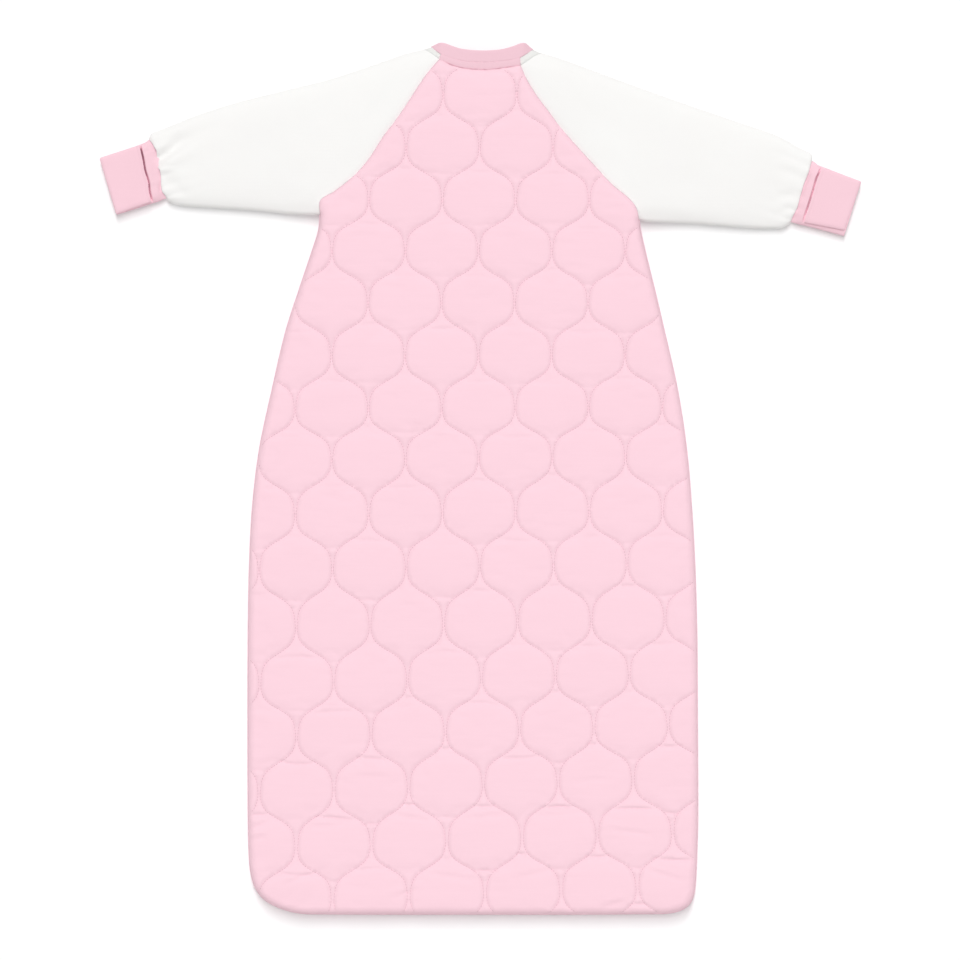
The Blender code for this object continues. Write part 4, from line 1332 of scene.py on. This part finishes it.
# creases between the slit and the sleeve: start, end, depth, half width
CUFF_CREASES = {
    "left": [((-337.4, 326.6), (-329.6, 330.6), 1.1, 1.2),
             ((-321.2, 300.4), (-321.0, 286.0), 1.0, 1.1),
             ((-327.4, 318.0), (-326.0, 308.0), 0.6, 1.8),
             ((-326.0, 296.0), (-330.0, 291.0), 0.5, 1.4)],
    "right": [((331.6, 314.0), (317.6, 275.0), 1.1, 1.8),
              ((318.6, 284.0), (313.0, 264.0), 1.0, 1.5),
              ((336.0, 304.0), (333.0, 296.0), 0.4, 1.5)],
}
# (share, openness) of the slit along its length, from its high end to its low end
SLIT = {
    "left": [(0.0, 0.15), (0.1, 0.6), (0.18, 1.3), (0.5, 0.82), (0.8, 0.66), (1.0, 0.5)],
    "right": [(0.0, 0.15), (0.12, 0.3), (0.2, 0.7), (0.4, 0.55), (0.8, 0.5), (0.95, 0.2),
              (1.0, 0.0)],
}
# the bottom of the slit, where it opens into the mitten, is painted with shade from this depth
# down;
# the right slit is nearly shut and gets the paler painted shade
SLIT_SHADE_PAINT = {"left": (SLIT_SHADE_DARK, 2.7), "right": (SLIT_SHADE_PALE, 1.9)}


def shape_cuff(word, sheet, face, cuff_shares):
    """Gathers on both faces, and the slit under the flap's edge on the upper one.
    Returns the depth of the slit's ditch at each point."""
    across, outward = sleeve_axes(word)
    flat = sheet.reshape(-1, 3)
    xy = flat[:, :2]
    rim = rim_fade(np.tile(cuff_shares, sheet.shape[0]), 0.08)
    high = np.array(CUFFS[word][1][1])
    place = ((high - xy) @ across) / 61.0
    off_seam = np.maximum((xy - high) @ outward, 0)
    lift = 0.45 * gather_ripple(place, face) * np.exp(-off_seam / 8.0) * rim
    lift += 0.25 * soft_noise(xy[:, 0], xy[:, 1], 14.0, 4.0 + face) * rim
    ditch = np.zeros(len(flat))
    if face > 0:
        # signed distance from the flap's free edge: positive on the sleeve's side
        found = nearest(spline(FLAP_EDGE[word], 0.6), xy)
        near = np.array([(hit[0].x, hit[0].y) for hit in found])
        inboard = np.sign(np.sum((near - xy) * outward, axis=1))
        inboard = inboard * np.array([hit[2] for hit in found])
        lip = 1.35 / (1.0 + np.exp(-(inboard - 1.9) / 0.28))
        lip = lip * np.exp(-np.maximum(inboard - 2.4, 0) / 7.0)
        ditch = 5.4 * np.exp(-(((inboard - 0.6) / 0.8) ** 4)) * np.interp(place, *zip(*SLIT[word]))
        lift += (lip - ditch) * rim
        for begin, end, deep, wide in CUFF_CREASES[word]:
            away, share = segment_field(xy, begin, end)
            fall = np.sin(math.pi * np.clip(share, 0.04, 0.96))
            lift -= deep * gauss(away, wide) * fall * rim
    flat[:, 2] += face * lift
    sheet[:] = flat.reshape(sheet.shape)
    return (ditch * rim).reshape(sheet.shape[:2])


def make_cuff(word):
    shares = cosine_spaced(53)
    sections = [section(shares, low, high, CUFF_Z, half, power=2.1 if k < 2 else 3.0)
                for k, (low, high, half) in enumerate(CUFFS[word])]
    tops, bottoms = sheets_through(sections, np.linspace(0, 1, 130))
    opening = shape_cuff(word, tops, 1.0, shares)
    shape_cuff(word, bottoms, -1.0, shares)
    bottoms[:, :, 2] = np.maximum(bottoms[:, :, 2], 0.6)
    grid = closed_rings(tops, bottoms)
    obj = ring_mesh(f"rib_cuff_{word}", grid, flip=word == "left")
    thicken(obj, 1.3)
    finish_piece(obj, RIB, f"{word}_sleeve", "pink_rib", f"cuff_{word}")
    # faces deep in the slit take the painted shade colour
    slit_shade_material, slit_shade_depth = SLIT_SHADE_PAINT[word]
    obj.data.materials.append(slit_shade_material)
    depths = np.zeros(grid.shape[:2])
    depths[:, :opening.shape[1]] = opening
    depths = depths.ravel()
    for face in obj.data.polygons:
        if np.mean([depths[k] for k in face.vertices]) > slit_shade_depth:
            face.material_index = 1


def make_flap(word):
    """The mitten flap: doubled rib folded back over the cuff."""
    side = SIGN[word]
    outward = sleeve_axes(word)[1]
    cols, rows = ((50, 44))
    shares = cosine_spaced(cols)
    from_side = np.minimum(shares, 1 - shares) * FLAP_WIDTH
    rim = ell(from_side / 5.0)
    free_edge = along_polyline(spline(FLAP_EDGE[word], 0.6), shares)
    high, low = (np.array(point, float) for point in FLAP_END[word])
    outer_edge = high + (low - high) * shares[:, None]
    # rounded outer corners
    outer_edge = outer_edge - outward * (1.7 * (1.0 - ell(from_side / 1.9)))[:, None]
    grid = np.zeros((rows, cols, 3))
    for i, share in enumerate(cosine_spaced(rows)):
        xy = outer_edge + (free_edge - outer_edge) * share
        from_end, from_free = share * FLAP_REACH, FLAP_REACH * (1 - share)
        z = 11.9 + 2.15 * rim
        z = z - 3.0 * (1.0 - float(ell(from_end / 4.0))) * rim
        waves = soft_noise(xy[:, 0], xy[:, 1], 18.0, 12.0 + side)
        z = z + 0.32 * waves * rim * min(1.0, from_end / 6.0)
        # a sewn line, and the roll of the free edge beyond it
        z = z - 0.35 * gauss(from_free - 3.4, 0.8) * rim
        z = z + 0.25 * gauss(from_free - 0.9, 1.2) * rim
        grid[i, :, :2] = xy
        grid[i, :, 2] = z
    faces = grid_faces(rows, cols)
    if word == "right":
        faces = [face[::-1] for face in faces]
    obj = mesh_object(f"mitten_flap_{word}", grid.reshape(-1, 3), faces)
    face_up(obj)
    thicken(obj, 1.15)
    round_edges(obj, "soft_edge", width=0.35, degrees=50)
    finish_piece(obj, RIB, f"{word}_mitt", "pink_rib", f"mitt_{word}")


for word in SIGN:
    make_cuff(word)
    make_flap(word)


# ---------------------------------------------------------------------- neck
# the neckband's folded edge and sewn edge (x, y, z), from the zip round the
# back to the zip
NECKBAND = [
    ((-7.0, 384.8, 3.5), (-7.0, 369.0, 3.5)), ((-11.5, 387.2, 3.6), (-14.0, 372.6, 3.6)),
    ((-17.5, 393.5, 3.7), (-22.6, 382.4, 3.7)), ((-26.0, 404.0, 3.8), (-33.5, 397.6, 3.8)),
    ((-32.6, 416.0, 4.2), (-41.0, 412.5, 4.2)), ((-38.0, 428.0, 6.5), (-46.6, 426.0, 6.0)),
    ((-41.2, 435.2, 12.4), (-49.3, 432.6, 12.4)), ((-41.0, 436.4, 18.0), (-46.2, 430.0, 18.4)),
    ((-39.0, 436.6, 21.0), (-41.3, 426.2, 21.2)),
    ((-34.5, 435.6, 21.9), (-33.5, 422.2, 21.8)), ((-28.0, 433.2, 22.0), (-26.9, 420.0, 21.9)),
    ((-20.5, 430.8, 22.0), (-19.3, 418.3, 22.0)), ((-9.5, 429.3, 22.0), (-9.1, 417.2, 22.0)),
    ((6.2, 428.8, 22.0), (6.5, 416.9, 22.0)), ((21.5, 430.1, 22.0), (20.5, 417.9, 22.0)),
    ((32.8, 433.2, 22.0), (30.5, 419.0, 21.9)), ((39.5, 435.8, 21.6), (37.0, 420.2, 21.5)),
    ((44.0, 436.4, 20.0), (43.8, 424.0, 20.2)),
    ((46.4, 434.0, 13.5), (52.4, 429.8, 13.2)), ((42.6, 427.0, 6.5), (50.0, 424.0, 6.0)),
    ((36.0, 415.0, 4.2), (42.6, 411.0, 4.2)), ((27.0, 403.5, 3.8), (33.8, 397.2, 3.8)),
    ((17.5, 393.5, 3.7), (22.8, 382.4, 3.7)), ((11.5, 387.2, 3.6), (14.0, 372.6, 3.6)),
    ((7.0, 384.8, 3.5), (7.0, 369.0, 3.5)),
]
# upper x and y, lower x and y of the ridge under the neckband
NECK_RIDGE = [
    (-39.6, 425.6, -41.4, 419.2), (-32.4, 422.6, -33.5, 416.4), (-26.4, 420.6, -26.8, 413.8),
    (-19.3, 418.8, -19.5, 411.9), (-9.1, 417.7, -9.1, 410.3), (6.5, 417.4, 6.5, 409.6),
    (20.5, 418.4, 20.5, 411.2), (30.5, 419.6, 30.5, 412.6), (39.6, 421.6, 40.0, 413.8),
]
# inner and outer edge of the binding on each sleeve's neck edge
SHOULDER_STRIPS = {
    "left": ([(-38.6, 426.4), (-41.0, 429.4), (-44.6, 431.8), (-48.6, 432.7)],
             [(-41.9, 420.8), (-46.0, 423.6), (-50.6, 427.0), (-56.0, 430.0)]),
    "right": ([(37.8, 422.6), (42.8, 426.6), (47.4, 429.0), (52.6, 429.8)],
              [(40.4, 414.0), (48.8, 419.6), (54.8, 423.8), (61.0, 426.4)]),
}


def signed_power(value, power):
    return math.copysign(abs(value) ** power, value)


def make_neckband():
    edges = spline([fold + sewn for fold, sewn in NECKBAND], 2.2)
    fold, sewn = edges[:, :3], edges[:, 3:]
    count = len(edges)
    width = np.linalg.norm(sewn - fold, axis=1)
    across = unit_rows(sewn - fold)
    centre = (fold + sewn) / 2
    normal = unit_rows(np.cross(tangents(centre), across))
    if normal[count // 2, 2] < 0:
        normal = -normal
    sides = 26
    points = []
    for k in range(count):
        for i in range(sides):
            turn = 2 * math.pi * i / sides
            cos, sin = math.cos(turn), math.sin(turn)
            reach = signed_power(cos, 0.55) * width[k] / 2
            # a thicker bead just inside the folded edge
            from_sewn = 0.5 + 0.5 * -cos
            bead = math.exp(-(((1 - from_sewn) - 0.93) / 0.12) ** 2)
            rise = signed_power(sin, 0.75) * 1.15 * (0.82 + 0.3 * bead)
            points.append(centre[k] + across[k] * reach + normal[k] * rise)
    points = np.array(points)
    points[:, 2] += 0.3 * soft_noise(points[:, 0] + points[:, 2] * 3, points[:, 1], 16.0, 21.0)
    obj = ring_mesh("neckband_rib", points.reshape(count, sides, 3))
    cap_ends(obj, count, sides)
    finish_piece(obj, RIB_NECK, "torso", "pink_rib", "neckband")


def make_neck_ridge():
    """The bound seam allowance that stands under the neckband at the back."""
    edges = spline(NECK_RIDGE, 1.6)
    count, sides = len(edges), 16
    rings = []
    for k in range(count):
        upper, lower = edges[k, :2], edges[k, 2:]
        centre, half = (upper + lower) / 2, (upper - lower) / 2
        middle = math.exp(-((k / (count - 1) - 0.5) / 0.25) ** 2)
        wobble = (0.9 * math.sin(k * 0.9) + 0.6 * math.sin(k * 2.3 + 1.0)) * middle
        ring = []
        for i in range(sides):
            turn = 2 * math.pi * i / sides
            cos, sin = math.cos(turn), math.sin(turn)
            reach = signed_power(cos, 0.8) * (1.06 + 0.05 * wobble * (cos < 0))
            z = 21.9 + 1.25 * signed_power(sin, 0.8) + 0.22 * wobble
            ring.append((*(centre + half * reach), z))
        rings.append(ring)
    obj = ring_mesh("neck_seam_roll", np.array(rings))
    cap_ends(obj, count, sides)
    finish_piece(obj, NECK_BIND, "torso", "pink_quilt", "neck_seam_band")


def height_on(obj, points, lift):
    """z of the object's upper face under each point, plus a lift; NaN off its edge."""
    graph = bpy.context.evaluated_depsgraph_get()
    graph.update()
    solid = obj.evaluated_get(graph)
    out = []
    for x, y in points:
        hit, place, _, _ = solid.ray_cast(Vector((x * MM, y * MM, 0.1)), Vector((0, 0, -1.0)))
        out.append(place.z / MM + lift if hit else np.nan)
    return np.array(out)


def make_shoulder_strip(word):
    """The folded binding along the sleeve's neck edge, twice topstitched."""
    inner, outer = (spline(edge, 0.5) for edge in SHOULDER_STRIPS[word])
    rows, cols = min(len(inner), len(outer)), 8
    inner, outer = (along_polyline(edge, np.linspace(0, 1, rows)) for edge in (inner, outer))
    grid = np.array([[inner[k] + (outer[k] - inner[k]) * i / (cols - 1) for i in range(cols)]
                     for k in range(rows)])
    z = height_on(sleeves[word], grid.reshape(-1, 2), 0.45).reshape(rows, cols)
    # points that overhang the sleeve take a height from their own row, or the middle height
    for row in z:
        good = row[~np.isnan(row)]
        if len(good) < cols:
            row[np.isnan(row)] = good[0] if len(good) else np.nanmedian(z)
    verts = np.concatenate([grid, z[..., None]], axis=2)
    name = f"shoulder_strip_{word}"
    obj = mesh_object(name, verts.reshape(-1, 3), grid_faces(rows, cols))
    face_up(obj)
    thicken(obj, 0.7)
    finish_piece(obj, STRIP, "torso", "white_jersey")
    lines = []
    for share in (0.16, 0.84):
        column, part = divmod(share * (cols - 1), 1)
        column = int(column)
        line = verts[:, column] * (1 - part) + verts[:, column + 1] * part
        line[:, 2] += 0.12
        lines.append(line)
    thread = stitches(f"shoulder_stitches_{word}", lines, length=1.7, gap=0.6, radius=0.22)
    finish_piece(thread, SEW_WHITE, "torso", "white_jersey")


make_neckband()
make_neck_ridge()
for word in SIGN:
    make_shoulder_strip(word)


# ----------------------------------------------------------------------- zip
COIL_PITCH = 1.6  # length of one turn
COIL_Y = (-384.8, 377.8)
COIL_TURN_STEPS = 9
COIL_WIRE = 0.3  # radius
TOPSTITCH_X = 8.6


def ridge(height, at, width):
    """A profile across a strip: a small ridge on both sides of x = 0."""
    return lambda x: height * math.exp(-((abs(x) - at) / width) ** 2)


def strip_sheet(name, xs, ys, z, wave, thickness, profile=None):
    """A thin, slightly wavy rectangle; xs and ys are (start, end, points)."""
    verts = []
    for y in np.linspace(*ys):
        for x in np.linspace(*xs):
            lift = wave * noise.noise(Vector((x * 0.05, y * 0.04, z)))
            if profile:
                lift += profile(x)
            verts.append((x, y, z + lift))
    obj = mesh_object(name, verts, grid_faces(ys[2], xs[2]))
    thicken(obj, thickness)
    return obj


def make_tape(word):
    low, high = sorted((SIGN[word] * 2.9, SIGN[word] * 11.8))
    obj = strip_sheet(f"zip_tape_woven_{word}", (low, high, 10), (-401.0, 384.5, 200), z=6.45,
                      wave=0.06, thickness=0.5, profile=ridge(0.12, at=3.6, width=0.6))
    finish_piece(obj, TAPE, "torso", "zip_tape", f"zip_tape_{word}")


def make_coil(word):
    """A nylon coil; the right one sits half a turn on from the left."""
    side = SIGN[word]
    offset = 0.0 if side < 0 else COIL_PITCH / 2
    turns = int((378.0 + 385.0) / COIL_PITCH)
    k = np.arange(turns * COIL_TURN_STEPS)
    turn = 2 * math.pi * k / COIL_TURN_STEPS
    path = np.stack([side * (1.5 - 1.0 * np.cos(turn)),
                     COIL_Y[0] + offset + COIL_PITCH * k / COIL_TURN_STEPS * 0.998,
                     6.2 + 0.85 * np.sin(turn)], axis=1)
    path = path[path[:, 1] < COIL_Y[1]]
    along = tangents(path)
    across = unit_rows(np.cross(along, [0, 1.0, 0]))
    up = np.cross(across, along)
    sides = 4
    verts = []
    for p, s, u in zip(path, across, up):
        for i in range(sides):
            turn = 2 * math.pi * (i + 0.5) / sides
            verts.append(p + (s * math.cos(turn) + u * math.sin(turn)) * COIL_WIRE)
    obj = mesh_object(f"zip_coil_{word}", verts, cord_faces(len(path), sides))
    finish_piece(obj, COIL, "torso", "zip_coil", f"zip_teeth_{word}")


def make_zip_topstitch(word):
    ys = np.arange(-396.0, 364.0, 2.0)
    xy = np.column_stack([np.full(len(ys), SIGN[word] * TOPSTITCH_X), ys])
    path = np.column_stack([xy, front_shell_z(word, xy) - 0.12])
    obj = stitches(f"zip_topstitch_{word}", [path], length=2.4, gap=0.8, radius=0.22, sides=4)
    finish_piece(obj, SEW_PINK, "torso", "pink_quilt")


def make_underflap():
    obj = strip_sheet("zip_underflap_cloth", (-17.0, 17.0, 16), (-398.0, 336.0, 150), z=10.3,
                      wave=0.12, thickness=0.9, profile=ridge(-0.15, at=15.0, width=0.5))
    finish_piece(obj, LINING, "torso", "lining", "zip_underflap")


def pillow(name, half_x, y0, y1, z0, z1, cols, rows, roll):
    """A small padded rectangle with soft edges, centred on x = 0."""
    x0, x1 = -half_x, half_x
    xs = x0 + (x1 - x0) * cosine_spaced(cols)
    ys = y0 + (y1 - y0) * cosine_spaced(rows)
    middle, half = (z0 + z1) / 2, (z1 - z0) / 2
    top, bottom = [], []
    for y in ys:
        for x in xs:
            rise = half * float(ell(min(x - x0, x1 - x, y - y0, y1 - y) / roll))
            rise *= 1 + 0.06 * noise.noise(Vector((x * 0.2, y * 0.2, 1)))
            top.append((x, y, middle + max(rise, 0.05)))
            bottom.append((x, y, middle - max(rise, 0.05)))
    count = cols * rows
    faces = []
    for quad in grid_faces(rows, cols):
        faces += [quad, tuple(count + k for k in quad[::-1])]
    rim = [*range(cols), *[r * cols + cols - 1 for r in range(1, rows)],
           *[(rows - 1) * cols + c for c in range(cols - 2, -1, -1)],
           *[r * cols for r in range(rows - 2, 0, -1)]]
    faces += [(b, a, count + a, count + b) for a, b in zip(rim, rim[1:] + rim[:1])]
    return mesh_object(name, top + bottom, faces)


def make_end_tab():
    obj = pillow("end_tab_cloth", 11.3, -427.0, -405.5, 3.5, 5.4, cols=18, rows=18, roll=1.6)
    finish_piece(obj, QUILT, "torso", "pink_quilt", "zip_end_tab")


def make_chin_guard():
    obj = pillow("chin_guard_rib", 10.4, 386.0, 396.4, 4.3, 8.5, cols=20, rows=14, roll=2.6)
    finish_piece(obj, RIB, "torso", "pink_rib", "zip_chin_guard")


def make_care_label():
    obj = strip_sheet("care_label_satin", (-214.0, -184.0, 16), (-222.0, -192.0, 16), z=12.35,
                      wave=0.25, thickness=0.3)
    finish_piece(obj, LABEL, "torso", "label", "care_label")


def dress_sliders():
    """The sliders, pulls and stops keep the frame's own shapes."""
    kinds = ("zip_slider", "zip_pull", "zip_top_stop", "zip_bottom_stop")
    for name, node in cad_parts.items():
        if name.startswith(kinds):
            node.data.materials.clear()
            node.data.materials.append(SLIDER)
            if not name.endswith("stop"):
                round_edges(node, "edge_round", width=0.22, degrees=40)


for word in SIGN:
    make_tape(word)
    make_coil(word)
    make_zip_topstitch(word)
make_underflap()
make_end_tab()
make_chin_guard()
make_care_label()
dress_sliders()


# ------------------------------------------------- floor, light and camera
# metres from here on
FLOOR_HALF = 30.0
VIEW_WIDTH = 0.96  # width the camera sees at VIEW_Z
VIEW_Z = 0.018
STRIP_LEANS = (0.15, 0.35, 0.56, 0.80)  # how far each light of the strip leans


def make_floor():
    mesh = bpy.data.meshes.new("floor")
    s = FLOOR_HALF
    mesh.from_pydata([(-s, -s, 0), (s, -s, 0), (s, s, 0), (-s, s, 0)], [], [(0, 1, 2, 3)])
    floor = bpy.data.objects.new("floor", mesh)
    bpy.context.scene.collection.objects.link(floor)
    floor.location.z = CAD_LOW.z - 0.0001
    paper = Surface("floor_paper", textured=False)
    paper.fill(paper.bsdf, {
        "Base Color": (0.97, 0.97, 0.97, 1.0),
        "Roughness": 0.9,
        "Specular IOR Level": 0.0,
    })
    mesh.materials.append(paper.material)


def make_world():
    """A white world that lights the bag softly but looks fully bright to the camera."""
    world = bpy.data.worlds.new("studio")
    bpy.context.scene.world = world
    world.use_nodes = True
    tree = world.node_tree
    background = tree.nodes["Background"]
    background.inputs[0].default_value = (1.0, 1.0, 1.0, 1.0)
    light_level, camera_extra = 0.38, 0.62
    path = tree.nodes.new("ShaderNodeLightPath")
    level = tree.nodes.new("ShaderNodeMath")
    level.operation = "MULTIPLY_ADD"
    level.inputs[1].default_value = camera_extra
    level.inputs[2].default_value = light_level
    tree.links.new(path.outputs["Is Camera Ray"], level.inputs[0])
    tree.links.new(level.outputs[0], background.inputs[1])


def sun(name, toward, strength, spread, shadow=True):
    """A sun that shines along `toward`; spread is its angle in degrees."""
    light = bpy.data.lights.new(name, "SUN")
    light.energy = strength
    light.angle = math.radians(spread)
    light.use_shadow = shadow
    obj = bpy.data.objects.new(name, light)
    bpy.context.scene.collection.objects.link(obj)
    obj.rotation_euler = Vector(toward).to_track_quat("-Z", "Y").to_euler()


def make_lights():
    """A long soft light from the neck end, in steps, and a fill from the hem end."""
    for k, lean in enumerate(STRIP_LEANS):
        sun(f"strip_{k}", toward=(0.02, -lean, -1.0), strength=0.475, spread=10.0)
    sun("fill", toward=(-0.12, 0.40, -1.0), strength=0.50, spread=40.0, shadow=False)


def make_camera():
    """Looks straight down on the bag."""
    scene = bpy.context.scene
    camera = bpy.data.cameras.new("camera")
    camera.lens = 200.0
    camera.sensor_width = 36.0
    camera.clip_end = 50.0
    obj = bpy.data.objects.new("camera", camera)
    scene.collection.objects.link(obj)
    obj.location = (-0.0005, -0.0005, VIEW_Z + VIEW_WIDTH * camera.lens / camera.sensor_width)
    scene.camera = obj
    scene.view_settings.view_transform = "Standard"
    scene.view_settings.look = "None"
    scene.view_settings.exposure = 0.0
    scene.view_settings.gamma = 1.0


make_floor()
make_world()
make_lights()
make_camera()
